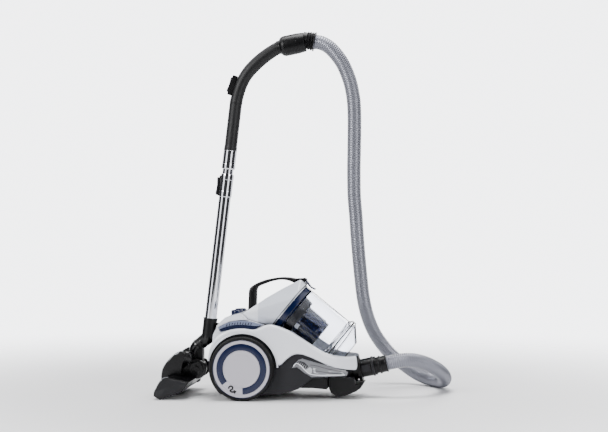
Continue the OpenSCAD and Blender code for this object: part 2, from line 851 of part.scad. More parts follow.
module hose_connector() {
    color("black") on_axis(socket_point, socket_heading) difference() {
        union() {
            translate([0, 0, 0]) cylinder(r = plug_r - run_fit, h = flange_t + 4);
            translate([0, 0, flange_t + part_gap]) cylinder(r = connector_r - 4, h = connector_len - flange_t);
        }
        translate([0, 0, -1]) cylinder(r = cuff_r - 4, h = 80);
        translate([0, 0, 34]) cylinder(r = cuff_r + slide_gap, h = 40);
        button_pocket();
    }
}

// The release button sits in a pocket in the near side of the connector
release_s = 24;
release_depth = 6.4;
release_t = 3;

module button_pocket() {
    translate([-9 - slide_gap, -connector_r, release_s - 12 - slide_gap])
        cube([18 + 2 * slide_gap, release_depth, 24 + 2 * slide_gap]);
}

module connector_button() {
    color("dimgray") on_axis(socket_point, socket_heading)
        translate([-9, -connector_r + 1, release_s - 12]) cube([18, release_t, 24]);
}

module hose_cuff_lower() {
    color("black") on_axis(socket_point, socket_heading)
        turned([[cuff_r - 5, 36], [cuff_r, 36], [cuff_r, cuff_end], [cuff_r - 5, cuff_end]]);
}

module hose_lower() {
    color("silver") swept_tube(hose_route, 0, hose_cut, hose_r, hose_sides, hose_guide);
}

// The upper length starts a hair past the cut, so the two don't share a face
module hose_upper() {
    end = len(hose_route) - 1;
    cut_gap = 0.1;
    path = [for (i = [0 : end]) i == hose_cut
        ? hose_route[i] + cut_gap * heading_at(hose_route, i) : hose_route[i]];
    color("silver") swept_tube(path, hose_cut, end, hose_r, hose_sides, hose_guide);
}

module hose_cuff_upper() {
    color("black") on_axis(upper_cuff_end, upper_cuff_heading)
        turned([[cuff_r - 4, -34], [cuff_r - 1, -34], [cuff_r - 1, -22], [cuff_r + 4, -20], [cuff_r, -15],
                [cuff_r + 4, -10], [cuff_r, -5], [cuff_r + 3, 0], [cuff_r - 4, 0]]);
}

/* Wand */

hook_half = 9;
elbow_point = [-195, 166];
elbow_heading = 229;
elbow_len = 41;

module wand_neck() {
    neck_drop = (neck_top[1] - elbow_point[1]) / cos(wand_lean);
    color("black") {
        on_axis(neck_top, wand_lean) difference() {
            translate([0, 0, -neck_drop]) cylinder(r = neck_r, h = neck_drop);
            translate([0, 0, -40]) cylinder(r = tube_r + run_fit, h = 41);
        }
        translate([elbow_point[0], 0, elbow_point[1]]) sphere(r = neck_r - 0.3);
        on_axis(elbow_point, elbow_heading) cylinder(r = neck_r - 2, h = elbow_len);
        difference() {
            side_prism(-14, 14)
                polygon([[-232, 141], [-208, 141], [pivot_x + 14, pivot_z], [pivot_x - 14, pivot_z]]);
            cross_cylinder([pivot_x, pivot_z], 15, -40, 40);
        }
        cross_ring([pivot_x, pivot_z], pivot_r - 3, pivot_pin_r + run_fit, -barrel_half, barrel_half);
        difference() {
            union() {
                translate([-180, -hook_half, 198.5]) cube([21, 2 * hook_half, 7]);
                translate([-163.5, -hook_half, 180]) cube([4.5, 2 * hook_half, 19]);
            }
            on_axis(neck_top, wand_lean) translate([0, 0, -60]) cylinder(r = tube_r + 1, h = 80);
        }
    }
}

module wand_tube() {
    color("silver") on_axis(neck_top, wand_lean)
        ring(tube_r, tube_r - tube_wall, -38, tube_len);
}

module wand_sleeve() {
    color("silver") on_axis(neck_top, wand_lean) difference() {
        union() {
            translate([0, 0, sleeve_s[0]]) cylinder(r = sleeve_r, h = sleeve_s[1] - sleeve_s[0]);
            translate([-sleeve_r - 3, -7, sleeve_s[0] + 2]) cube([sleeve_r, 14, 58]);
        }
        translate([0, 0, sleeve_s[0] - 1]) cylinder(r = tube_r + run_fit, h = tube_len - sleeve_s[0] + 1.5);
        translate([0, 0, sleeve_s[0] - 1]) cylinder(r = inner_r + slide_gap, h = 90);
    }
}

module sleeve_catch() {
    color("dimgray") on_axis(neck_top, wand_lean)
        translate([-sleeve_r - 9.5, -8, sleeve_s[0] + 3])
            cube([6, 16, 52]);
}

module upper_tube() {
    color("silver") on_axis(neck_top, wand_lean) {
        ring(inner_r, inner_r - tube_wall, 30, upper_s[1]);
        ring(upper_r, inner_r - 0.1, upper_s[0], upper_s[1]);
    }
}

grip_wall = 3;
grip_sides = 32;
bend_steps = 4;
// Housing profile past the last bend: [distance, radius]
housing_profile = [[8, housing_r - 3], [16, housing_r], [housing_len - 30, housing_r],
                   [housing_len - 8, housing_r - 2]];

module grip() {
    bends = grip_bend_line();
    line = concat(bends, [for (q = housing_profile) housing_start + q[0] * heading_vector(housing_heading)]);
    radii = concat([for (q = bends) grip_r], [for (q = housing_profile) q[1]]);
    color("black") difference() {
        swept_pipe(line, radii, grip_wall, grip_sides);
        on_axis(upper_cuff_end, upper_cuff_heading)
            translate([0, 0, -52]) cylinder(r = cuff_r, h = 60);
        on_axis(upper_cuff_end, upper_cuff_heading)
            translate([0, 0, -21]) cylinder(r = cuff_r + 6, h = 60);
    }
}

slider_heading = 18;
slider_point = [-121, 862];

module air_slider() {
    color("dimgray") on_axis(slider_point, slider_heading)
        translate([-grip_r + 6.5, -8, 0]) cube([5, 16, 46]);
}

/* Floor head */

// Puts the head's own frame at the pivot, tipped so that its front edge rests on the floor
module in_head_frame() {
    translate([pivot_x, 0, pivot_z])
        rotate([0, -head_pitch, 0])
            children();
}

roller_point = [-36, -34.8];
roller_r = 8;
roller_y = [88, 104];
mouth_x = [-92, -62];
mouth_half = 108;
pedal_y = [70, 106];
brush_x = [-100, -52];

module head_body() {
    color("black") in_head_frame() {
        difference() {
            union() {
                side_prism(-head_half, head_half) polygon(head_shell_outline);
                both_sides() cross_cylinder([0, 0], pivot_r, barrel_half + 2, barrel_half + 2 + ear_w);
                both_sides() side_prism(barrel_half + 2, barrel_half + 2 + ear_w)
                    polygon([[0, -pivot_r + 1], [-60, -12], [-60, 8], [-16, 20], [0, 0]]);
            }
            side_prism(-head_half + head_wall, head_half - head_wall)
                intersection() {
                    offset(delta = -head_wall) polygon(head_shell_outline);
                    translate([-112, -60]) square([100, 100]);
                }
            translate([-103, -head_half + 5, -46]) cube([62, head_w - 10, 10]);
            cross_cylinder([0, 0], pivot_r + 1.5, -barrel_half - 2, barrel_half + 2);
            both_sides() cross_cylinder(roller_point, roller_r + 1, roller_y[0] - 1.5, roller_y[1] + 1.5);
            translate([-96, pedal_y[0] - 1, 2]) cube([34, pedal_y[1] - pedal_y[0] + 2, 20]);
        }
        both_sides() cross_cylinder([0, 0], pivot_pin_r, barrel_half - 12, barrel_half + 4);
    }
}

module head_cover() {
    color("black") in_head_frame() difference() {
        side_prism(-62, 62) offset(delta = -0.4) polygon(head_cover_outline);
        side_prism(-59, 59) offset(delta = -head_wall) polygon(head_cover_outline);
        translate([-64, -25.5, -20]) cube([80, 51, 100]);
        both_sides() cross_cylinder([0, 0], pivot_r + 1, barrel_half + 1, barrel_half + 3 + ear_w);
        both_sides() side_prism(barrel_half + 1.5, barrel_half + 2.5 + ear_w)
            polygon([[0, -pivot_r + 1], [-60.5, -12], [-60.5, 8.5], [-16, 20.5], [0, 0]]);
    }
}

module head_sole() {
    color("gray") in_head_frame() difference() {
        translate([sole_front[0], -head_half + 2, sole_front[1]]) cube([67, head_w - 4, 2.2]);
        translate([mouth_x[0], -mouth_half, sole_front[1] - 1]) cube([30, 2 * mouth_half, 5]);
        for (x = brush_x)
            translate([x, -brush_half - 1, sole_front[1] - 1]) cube([5, 2 * brush_half + 2, 5]);
        both_sides() cross_cylinder(roller_point, roller_r + 1, roller_y[0] - 1.5, roller_y[1] + 1.5);
    }
}

module head_pedal() {
    color("dimgray") in_head_frame()
        side_prism(pedal_y[0], pedal_y[1])
            polygon([[-94, 5], [-92, 9], [-84, 14], [-74, 14.5], [-65, 11], [-65, 7], [-74, 7], [-84, 6]]);
}

brush_half = 120;

module head_brushes() {
    color("darkslategray") in_head_frame() for (x = brush_x)
        translate([x + 1, -brush_half, sole_front[1] + 0.4]) cube([3, 2 * brush_half, 9]);
}

module head_rollers() {
    color("gray") in_head_frame() both_sides()
        cross_cylinder(roller_point, roller_r, roller_y[0], roller_y[1]);
}

chassis();
undertray();
side_shell_left();
side_shell_right();
rear_cover();
park_socket();
exhaust_grille_left();
exhaust_grille_right();
exhaust_filter();
motor_housing();
motor_mounts();
motor_rotor();
reel_bracket();
cable_reel();
circuit_board();
pre_motor_filter();
intake_duct();
duct_windows();
hose_socket();
front_bumper();
cord_gland();
wheel_axles();
cover_screws();
power_button();
rewind_button();
tyre_left();
wheel_disc_left();
wheel_ring_left();
tyre_right();
wheel_disc_right();
wheel_ring_right();
caster_fork();
caster_wheel();
bin_hood();
carry_handle();
bin_latch();
bin_cup();
bin_collar();
cyclone();
cyclone_shroud();
bin_flap();
hose_connector();
connector_button();
hose_cuff_lower();
hose_lower();
hose_upper();
hose_cuff_upper();
wand_neck();
wand_tube();
wand_sleeve();
sleeve_catch();
upper_tube();
grip();
air_slider();
head_body();
head_cover();
head_sole();
head_pedal();
head_brushes();
head_rollers();
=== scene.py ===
"""Looks of a canister vacuum cleaner whose wand is parked upright at its back."""

import random

import bmesh
import bpy
import numpy as np
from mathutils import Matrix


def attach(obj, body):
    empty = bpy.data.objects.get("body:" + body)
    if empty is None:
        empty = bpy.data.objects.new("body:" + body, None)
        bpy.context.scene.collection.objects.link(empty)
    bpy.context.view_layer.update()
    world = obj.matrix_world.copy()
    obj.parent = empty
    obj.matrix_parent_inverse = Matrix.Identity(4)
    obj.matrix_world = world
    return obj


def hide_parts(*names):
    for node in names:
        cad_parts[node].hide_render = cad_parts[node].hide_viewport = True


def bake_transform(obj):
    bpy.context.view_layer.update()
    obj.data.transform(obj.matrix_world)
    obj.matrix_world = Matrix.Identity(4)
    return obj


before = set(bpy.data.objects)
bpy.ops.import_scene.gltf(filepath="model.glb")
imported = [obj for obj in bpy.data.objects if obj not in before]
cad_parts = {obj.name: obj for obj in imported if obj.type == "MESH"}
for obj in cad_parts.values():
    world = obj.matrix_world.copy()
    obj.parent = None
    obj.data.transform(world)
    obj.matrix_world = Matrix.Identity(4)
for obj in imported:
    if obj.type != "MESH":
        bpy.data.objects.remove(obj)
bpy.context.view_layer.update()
MM = 0.001

# ---- Camera, floor and lights -------------------------------------------------------------
# A level camera a little to the right of square on, four metres off, as for a catalogue view.
# The floor is one pale sheet, and large soft lamps stand left, right and above.

camera_data = bpy.data.cameras.new("camera")
camera_data.lens = 79.8
camera_data.sensor_width = 36
camera = bpy.data.objects.new("camera", camera_data)
camera.location = (0.5505, -3.811, 0.5126)
camera.rotation_euler = (np.radians(90), 0, np.radians(7))
bpy.context.scene.collection.objects.link(camera)
bpy.context.scene.camera = camera


def soft_lamp(name, place, aim, size, power):
    """A square lamp at place whose face looks at the point aim."""
    data = bpy.data.lights.new(name, "AREA")
    data.shape, data.size, data.energy = "SQUARE", size, power
    lamp = bpy.data.objects.new(name, data)
    lamp.location = place
    direction = np.subtract(aim, place)
    lamp.rotation_euler = (np.arctan2(np.hypot(*direction[:2]), -direction[2]), 0,
                           np.arctan2(direction[1], direction[0]) - np.pi / 2)
    bpy.context.scene.collection.objects.link(lamp)


soft_lamp("key_lamp", (-2.3, -2.6, 1.9), (0, 0, 0.35), 1.2, 105)
soft_lamp("fill_lamp", (2.9, -2.6, 1.4), (0.1, 0, 0.35), 1.0, 45)
soft_lamp("top_lamp", (0.1, 0.1, 2.8), (0, 0, 0.2), 1.6, 95)
soft_lamp("back_lamp", (0.8, 2.8, 1.6), (0, 0, 0.4), 1.4, 50)

world = bpy.data.worlds.new("studio")
world.use_nodes = True
studio = world.node_tree
rays = studio.nodes.new("ShaderNodeLightPath")


def studio_math(operation, *inputs):
    """A math node of the world; each input is a number or another node's (node, output) pair."""
    made = studio.nodes.new("ShaderNodeMath")
    made.operation = operation
    for place, value in enumerate(inputs):
        if isinstance(value, tuple):
            studio.links.new(value[0].outputs[value[1]], made.inputs[place])
        else:
            made.inputs[place].default_value = value
    return made


# The backdrop is bright where it is seen directly or through clear plastic, and lights the object
# dimly. Reflections see a dark room with two upright light panels, at the camera's two sides.
bounced = studio_math("ADD", (rays, "Diffuse Depth"), (rays, "Glossy Depth"))
direct = studio_math("LESS_THAN", (bounced, 0), 0.5)
through = studio_math("MULTIPLY", (rays, "Is Transmission Ray"), (direct, 0))
seen = studio_math("MAXIMUM", (rays, "Is Camera Ray"), (through, 0))
direction = studio.nodes.new("ShaderNodeSeparateXYZ")
studio.links.new(studio.nodes.new("ShaderNodeTexCoord").outputs["Generated"], direction.inputs[0])
panel = studio_math("COMPARE", (studio_math("ABSOLUTE", (direction, "X")), 0), 0.66, 0.15)
reflected = studio_math("MULTIPLY_ADD", (panel, 0), 2.6, 0.05)
mirrored = studio.nodes.new("ShaderNodeMapRange")
mirrored.inputs["To Min"].default_value = 0.45
studio.links.new(rays.outputs["Is Glossy Ray"], mirrored.inputs["Value"])
studio.links.new(reflected.outputs[0], mirrored.inputs["To Max"])
room = studio.nodes.new("ShaderNodeMapRange")
room.inputs["To Max"].default_value = 5.0
studio.links.new(seen.outputs[0], room.inputs["Value"])
studio.links.new(mirrored.outputs["Result"], room.inputs["To Min"])
studio.links.new(room.outputs["Result"], studio.nodes["Background"].inputs["Strength"])
studio.nodes["Background"].inputs["Color"].default_value = (0.96, 0.97, 1, 1)
bpy.context.scene.world = world

# The floor fades out before its edge, so that it runs into the pale background.
spokes = np.linspace(0, 2 * np.pi, 96, endpoint=False)
rim = 3.0 * np.stack([np.cos(spokes), np.sin(spokes), 0 * spokes], axis=1)
floor_mesh = bpy.data.meshes.new("floor")
floor_mesh.from_pydata([*map(tuple, rim)], [], [list(range(96))])
floor = bpy.data.objects.new("floor", floor_mesh)
bpy.context.scene.collection.objects.link(floor)
floor_paint = bpy.data.materials.new("floor_paint")
floor_paint.use_nodes = True
paper = floor_paint.node_tree
reach = paper.nodes.new("ShaderNodeVectorMath")
reach.operation = "LENGTH"
fade = paper.nodes.new("ShaderNodeMapRange")
fade.interpolation_type = "SMOOTHSTEP"
for label, value in {"From Min": 0.5, "From Max": 2.4, "To Min": 1.0, "To Max": 0.0}.items():
    fade.inputs[label].default_value = value
paper.links.new(paper.nodes.new("ShaderNodeTexCoord").outputs["Object"], reach.inputs[0])
paper.links.new(reach.outputs["Value"], fade.inputs["Value"])
paper.links.new(fade.outputs["Result"], paper.nodes["Principled BSDF"].inputs["Alpha"])
paper.nodes["Principled BSDF"].inputs["Base Color"].default_value = (0.9, 0.9, 0.91, 1)
paper.nodes["Principled BSDF"].inputs["Roughness"].default_value = 0.6
floor_mesh.materials.append(floor_paint)

# ---- Finishes shared by the moulded parts -------------------------------------------------
# Injection moulded plastic: a very fine spark-eroded grain, with gloss and shade that drift
# slowly over a panel. Each finish below sets the same group with its own values.


def node_group(name, inputs, outputs):
    """A shader group with named float, colour and vector sockets, and its two end nodes."""
    group = bpy.data.node_groups.new(name, "ShaderNodeTree")
    for label, kind, value in inputs:
        socket = group.interface.new_socket(label, in_out="INPUT", socket_type=kind)
        socket.default_value = value
    for label, kind in outputs:
        group.interface.new_socket(label, in_out="OUTPUT", socket_type=kind)
    return group, group.nodes.new("NodeGroupInput"), group.nodes.new("NodeGroupOutput")


def add_node(tree, kind, links=(), **values):
    """A node with its named inputs set; links gives (input, from node, from output)."""
    made = tree.nodes.new(kind)
    for label, value in values.items():
        if label in made.bl_rna.properties:
            setattr(made, label, value)
        else:
            made.inputs[label.replace("_", " ")].default_value = value
    for label, source, output in links:
        tree.links.new(source.outputs[output], made.inputs[label])
    return made


def moulded_group():
    """Colour and roughness drift with a broad noise; a fine noise gives the grain's normal."""
    group, start, end = node_group(
        "moulded_surface",
        [("Color", "NodeSocketColor", (0.5, 0.5, 0.5, 1)), ("Drift", "NodeSocketFloat", 0.06),
         ("Roughness", "NodeSocketFloat", 0.4), ("Spread", "NodeSocketFloat", 0.1),
         ("Scale", "NodeSocketFloat", 1500), ("Depth", "NodeSocketFloat", 0.1)],
        [("Color", "NodeSocketColor"), ("Roughness", "NodeSocketFloat"), ("Normal", "NodeSocketVector")])
    place = add_node(group, "ShaderNodeTexCoord")
    broad = add_node(group, "ShaderNodeTexNoise", [("Vector", place, "Object")], Scale=9.0, Detail=3.0)
    fine = add_node(group, "ShaderNodeTexNoise", [("Vector", place, "Object"), ("Scale", start, "Scale")],
                    Detail=2.0)
    centred = add_node(group, "ShaderNodeMath", [(0, broad, "Fac")], operation="SUBTRACT")
    centred.inputs[1].default_value = 0.5
    shade = add_node(group, "ShaderNodeMath", [(0, centred, 0), (1, start, "Drift")],
                     operation="MULTIPLY_ADD")
    shade.inputs[2].default_value = 1.0
    tint = add_node(group, "ShaderNodeHueSaturation", [("Color", start, "Color"), ("Value", shade, 0)])
    rough = add_node(group, "ShaderNodeMath", [(0, centred, 0), (1, start, "Spread"),
                                               (2, start, "Roughness")], operation="MULTIPLY_ADD")
    bump = add_node(group, "ShaderNodeBump", [("Strength", start, "Depth"), ("Height", fine, "Fac")],
                    Distance=0.0002)
    group.links.new(tint.outputs["Color"], end.inputs["Color"])
    group.links.new(rough.outputs[0], end.inputs["Roughness"])
    group.links.new(bump.outputs["Normal"], end.inputs["Normal"])
    return group


moulded_surface = moulded_group()


def moulded(name, color, roughness, drift=0.08, spread=0.12, scale=1500.0, depth=0.1, **shader):
    """A plastic, rubber or metal finish: the moulded group feeds one Principled shader."""
    material = bpy.data.materials.new(name)
    material.use_nodes = True
    tree = material.node_tree
    group = tree.nodes.new("ShaderNodeGroup")
    group.node_tree = moulded_surface
    for label, value in {"Color": (*color, 1), "Drift": drift, "Roughness": roughness, "Spread": spread,
                         "Scale": scale, "Depth": depth}.items():
        group.inputs[label].default_value = value
    principled = tree.nodes["Principled BSDF"]
    for label in ("Roughness", "Normal"):
        tree.links.new(group.outputs[label], principled.inputs[label])
    tree.links.new(group.outputs["Color"], principled.inputs["Base Color"])
    for label, value in shader.items():
        principled.inputs[label.replace("_", " ")].default_value = value
    return material


white_gloss = moulded("white_gloss", (0.84, 0.86, 0.92), 0.22, drift=0.03, depth=0.02, Coat_Weight=0.5,
                      Coat_Roughness=0.08)
charcoal_satin = moulded("charcoal_satin", (0.0085, 0.0085, 0.011), 0.42, depth=0.25, Specular_IOR_Level=0.3)
black_satin = moulded("black_satin", (0.0012, 0.0012, 0.0017), 0.36, depth=0.2, Specular_IOR_Level=0.25)
black_gloss = moulded("black_gloss", (0.001, 0.001, 0.0015), 0.22, depth=0.05, Specular_IOR_Level=0.35)
navy_gloss = moulded("navy_gloss", (0.0008, 0.0055, 0.034), 0.22, depth=0.03, Specular_IOR_Level=0.4,
                     Coat_Weight=0.15, Coat_Roughness=0.06)

# ---- Hose ---------------------------------------------------------------------------------
# A silver-grey wound plastic hose, 41 mm over its ribs and 1.58 m long, that turns in its cuffs
# at both ends. It is one hose; the CAD cuts it at mid height, and so do these.

hose_radius = 0.0205
rib_pitch = 0.0052
rib_depth = 0.00144
hose_route = MM * np.array([
    [319, 0, 96.3], [352, 0, 103.3], [386, 10, 105], [420, 34, 96], [450, 72, 78], [470, 116, 58],
    [478, 160, 38], [472, 202, 25], [456, 238, 21], [428, 274, 22], [392, 298, 34], [350, 310, 60],
    [313, 310, 89], [284, 305, 123], [260, 295, 162], [242, 280, 211], [231, 260, 268],
    [224, 232, 352], [219, 203, 435], [216, 178, 510], [213, 155, 572], [214, 130, 640],
    [217, 105, 705], [220, 80, 768], [221, 60, 824], [218, 44, 864], [209, 31, 905],
    [190, 17, 950], [162, 5, 986], [136, 0, 1003.4], [112.3, 0, 1008.4]])
hose_cut = 19


def smooth_line(points, step):
    """A curve through points, with a point every step along it.

    Between B and C, with neighbours A and D, it is Catmull and Rom's cubic:
    half of 2B + (C - A) t + (2A - 5B + 4C - D) t^2 + (3B - A - 3C + D) t^3.
    """
    p = np.asarray(points, float)
    padded = np.vstack([2 * p[0] - p[1], p, 2 * p[-1] - p[-2]])
    a, b, c, d = (padded[k:len(p) - 1 + k, None] for k in range(4))
    t = np.linspace(0, 1, 40, endpoint=False)[None, :, None]
    curve = 0.5 * (2 * b + (c - a) * t + (2 * a - 5 * b + 4 * c - d) * t**2 + (3 * b - a - 3 * c + d) * t**3)
    return evened(np.vstack([curve.reshape(-1, p.shape[1]), p[-1:]]), step=step)


def evened(points, count=None, step=None):
    """The same line with count points, or one every step, evenly spaced along its length."""
    p = np.asarray(points, float)
    run = np.concatenate([[0], np.cumsum(np.linalg.norm(np.diff(p, axis=0), axis=1))])
    count = count or max(2, round(run[-1] / step) + 1)
    even = np.linspace(0, run[-1], count)
    return np.stack([np.interp(even, run, p[:, k]) for k in range(p.shape[1])], axis=1)


def rings_along(path, section, size=1.0, guide=(0, 1, 0)):
    """A section set square to each point of a path.

    Ring i is path[i] + size[i] (x A + y B), where A = T x guide and B = T x A, both of
    length one, for the path's direction T and the section's points (x, y).
    """
    forward = np.gradient(path, axis=0)
    forward /= np.linalg.norm(forward, axis=1, keepdims=True)
    a = np.cross(forward, guide)
    a /= np.linalg.norm(a, axis=1, keepdims=True)
    b = np.cross(forward, a)
    size = np.broadcast_to(size, len(path))[:, None, None]
    return path[:, None] + size * (section[:, 0, None] * a[:, None] + section[:, 1, None] * b[:, None])


def circle(sides, radius=1.0):
    """Points (cos a, sin a) times radius, evenly around."""
    a = np.linspace(0, 2 * np.pi, sides, endpoint=False)
    return radius * np.stack([np.cos(a), np.sin(a)], axis=1)


def mesh_object(name, points, faces, crease=35):
    """A welded mesh whose faces point outwards, smooth except over edges sharper than crease."""
    mesh = bpy.data.meshes.new(name)
    mesh.from_pydata(np.asarray(points, float).tolist(), [], faces)
    work = bmesh.new()
    work.from_mesh(mesh)
    bmesh.ops.remove_doubles(work, verts=work.verts, dist=2e-6)
    bmesh.ops.recalc_face_normals(work, faces=work.faces)
    work.to_mesh(mesh)
    work.free()
    mesh.shade_smooth()
    mesh.set_sharp_from_angle(angle=np.radians(crease))
    piece = bpy.data.objects.new(name, mesh)
    bpy.context.scene.collection.objects.link(piece)
    return piece


def skin(name, rings, ends="cap", crease=35):
    """A closed surface over rings[i, j], whose faces join ring i to ring i + 1 and wrap in j.

    With ends "cap" a fan closes each end ring; with "join" the last ring meets the first.
    """
    count, sides = rings.shape[:2]
    near = np.arange(count if ends == "join" else count - 1)[:, None] * sides
    j = np.arange(sides)[None]
    k = (j + 1) % sides
    far = (near + sides) % (count * sides)
    faces = np.stack([near + j, near + k, far + k, far + j], -1).reshape(-1, 4).tolist()
    points = rings.reshape(-1, 3)
    if ends == "cap":
        last = (count - 1) * sides
        points = np.vstack([points, rings[0].mean(0), rings[-1].mean(0)])
        middle = np.full_like(j, count * sides)
        faces += np.stack([middle, k, j], -1).reshape(-1, 3).tolist()
        faces += np.stack([middle + 1, last + j, last + k], -1).reshape(-1, 3).tolist()
    return mesh_object(name, points, faces, crease)


def dress(piece, material, body=None, nodes=()):
    """Gives a piece its finish, rides it on a body and hides the nodes it stands for."""
    piece.data.materials.clear()
    piece.data.materials.append(material)
    if body:
        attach(piece, body)
    if nodes:
        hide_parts(*nodes)
    return piece


def layered(name, outline, layers, place, crease=40):
    """A solid over copies of an outline: for each (y, size), place(M + size (Q - M), y).

    Q are the outline's points and M is their middle; place gives points in metres.
    """
    middle = outline.mean(0)
    rings = [place(middle + (outline - middle) * size, y) for y, size in layers]
    return skin(name, np.array(rings), crease=crease)


def merged(name, pieces):
    """Many small like pieces made into one."""
    with bpy.context.temp_override(active_object=pieces[0], selected_editable_objects=pieces):
        bpy.ops.object.join()
    pieces[0].name = name
    return pieces[0]


hose_silver = moulded("hose_silver", (0.20, 0.205, 0.24), 0.33, drift=0.06, spread=0.05, scale=900.0,
                      depth=0.05, Metallic=0.55, Coat_Weight=0.2, Coat_Roughness=0.25)


def ribbed_hose(name, line):
    """A tube whose radius is R - depth (1 - |cos(pi s / pitch)|) at a distance s along it."""
    run = np.concatenate([[0], np.cumsum(np.linalg.norm(np.diff(line, axis=0), axis=1))])
    radius = hose_radius - rib_depth * (1 - np.abs(np.cos(np.pi * run / rib_pitch)))
    return skin(name, rings_along(line, circle(40), radius, guide=(0.5, 0.5, 0.7)), crease=80)


whole_line = smooth_line(hose_route, rib_pitch / 6)
cut_at = np.linalg.norm(whole_line - hose_route[hose_cut], axis=1).argmin()
for name, node, line, bodies, heights in (
        ("hose_lower_length", "hose_lower", whole_line[:cut_at + 1], ("vacuum", "wand"), (0.24, 0.44)),
        ("hose_upper_length", "hose_upper", whole_line[cut_at:], ("wand", "grip"), (0.53, 0.80))):
    hose = ribbed_hose(name, line)
    dress(hose, hose_silver, nodes=[node])
    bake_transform(hose)

# ---- Hose ends ----------------------------------------------------------------------------
# Black moulded cuffs in which the hose turns. The lower one plugs into an angled connector with
# a release button on its side; the upper one is a short bellows that takes the hose's bending.


def turned(name, profile, point, along, sides=96, ends="join", crease=35):
    """A profile of (radius, distance) pairs in mm, turned about an axis through a point.

    P = point + distance T + radius (cos(a) A + sin(a) B), with A and B square to the axis T.
    """
    profile = np.asarray(profile, float)
    along = np.asarray(along, float)
    side = np.cross(along, (0, 1, 0)) if abs(along[1]) < 0.9 else np.array([1.0, 0, 0])
    side /= np.linalg.norm(side)
    around = circle(sides) @ np.stack([side, np.cross(along, side)])
    rings = np.asarray(point) + profile[:, 1, None, None] * along + profile[:, 0, None, None] * around
    return skin(name, MM * rings, ends, crease)


def softened(corners, radius, steps=5, closed=True):
    """A line of corners with each corner C rounded.

    From A to B, at most radius away on its two sides, it is (1-t)^2 A + 2t(1-t) C + t^2 B.
    """
    c = np.asarray(corners, float)
    back, ahead = np.roll(c, 1, 0) - c, np.roll(c, -1, 0) - c
    lengths = [np.linalg.norm(v, axis=1, keepdims=True) for v in (back, ahead)]
    a, b = (c + v / n * np.minimum(radius, 0.48 * n) for v, n in zip((back, ahead), lengths))
    t = np.linspace(0, 1, steps)[None, :, None]
    curve = (1 - t)**2 * a[:, None] + 2 * t * (1 - t) * c[:, None] + t**2 * b[:, None]
    if closed:
        return curve.reshape(-1, c.shape[1])
    return np.vstack([c[:1], curve[1:-1].reshape(-1, c.shape[1]), c[-1:]])


def heading(degrees):
    """The direction that is turned from straight up towards the front by an angle."""
    return np.array([np.sin(np.radians(degrees)), 0, np.cos(np.radians(degrees))])


def cad_copy(name, node, round_over, segments=3):
    """A welded copy of a CAD node, its flat areas joined and its edges rounded by a Bevel."""
    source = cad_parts[node].data
    points = np.empty(3 * len(source.vertices))
    source.vertices.foreach_get("co", points)
    corners = np.empty(len(source.loops), int)
    source.loops.foreach_get("vertex_index", corners)
    mesh = bpy.data.meshes.new(name)
    mesh.from_pydata(points.reshape(-1, 3).tolist(), [], corners.reshape(-1, 3).tolist())
    work = bmesh.new()
    work.from_mesh(mesh)
    bmesh.ops.remove_doubles(work, verts=work.verts, dist=1e-5)
    bmesh.ops.dissolve_limit(work, angle_limit=np.radians(0.8), verts=work.verts, edges=work.edges)
    work.to_mesh(mesh)
    work.free()
    mesh.shade_smooth()
    piece = bpy.data.objects.new(name, mesh)
    bpy.context.scene.collection.objects.link(piece)
    bevel = piece.modifiers.new("rounded_edges", "BEVEL")
    bevel.width, bevel.segments = round_over * MM, segments
    bevel.limit_method, bevel.angle_limit = "ANGLE", np.radians(28)
    bevel.harden_normals = True
    return piece


socket_point, socket_heading = np.array([237.5, 0, 79]), heading(78)
dress(cad_copy("connector_body", "hose_connector", 1.2), black_satin, "vacuum",
      ["hose_connector"])
dress(cad_copy("connector_release", "connector_button", 0.9), charcoal_satin, "connector_button",
      ["connector_button"])
connector_band = turned("connector_band", softened([[26.05, 40], [28.2, 41], [28.2, 46], [26.05, 47]], 1.2),
                        socket_point, socket_heading)
dress(connector_band, charcoal_satin, "vacuum")
lower_cuff = turned("lower_cuff", softened(
    [[18, 36], [22.6, 36], [22.9, 61], [25.5, 61.5], [25.5, 66], [23.4, 67], [23, 80], [24, 81], [24, 84],
     [20.8, 84.5], [18, 60]], 0.8), socket_point, socket_heading)
dress(lower_cuff, black_satin, "hose_cuff_lower", ["hose_cuff_lower"])

upper_cuff_end, upper_cuff_heading = np.array([112, 0, 1008.5]), heading(102)
bellows = [[19, -34], [22, -34], [22, -22], [26.5, -20.5], [22.6, -17.5], [26.8, -13], [22.6, -10],
           [26.8, -6], [23.4, -3.5], [28, 0.5], [27, 2.5], [21, 2.5]]
dress(turned("upper_cuff", softened(bellows, 0.9), upper_cuff_end, upper_cuff_heading), black_satin,
      "hose_cuff_upper", ["hose_cuff_upper"])

# ---- Rear wheels --------------------------------------------------------------------------
# A soft black tyre is pressed over a moulded, faintly pearly grey disc. A glossy navy ring is
# clipped into the disc, open at its foot, where a small turned arrow stands in the gap.

axle = np.array([-75.5, 0, 89])
wheel_radius, disc_radius = 89, 79.5
ring_outer, ring_inner = 69.5, 52.5
disc_face = 135.0
ring_opening = (220, 273)
pearl_grey = moulded("pearl_grey", (0.44, 0.425, 0.475), 0.3, drift=0.03, scale=2600.0, depth=0.06,
                     Coat_Weight=0.25, Coat_Roughness=0.15)
tyre_rubber = moulded("tyre_rubber", (0.0008, 0.0008, 0.0011), 0.55, spread=0.2, scale=900.0, depth=0.35,
                      Specular_IOR_Level=0.2)


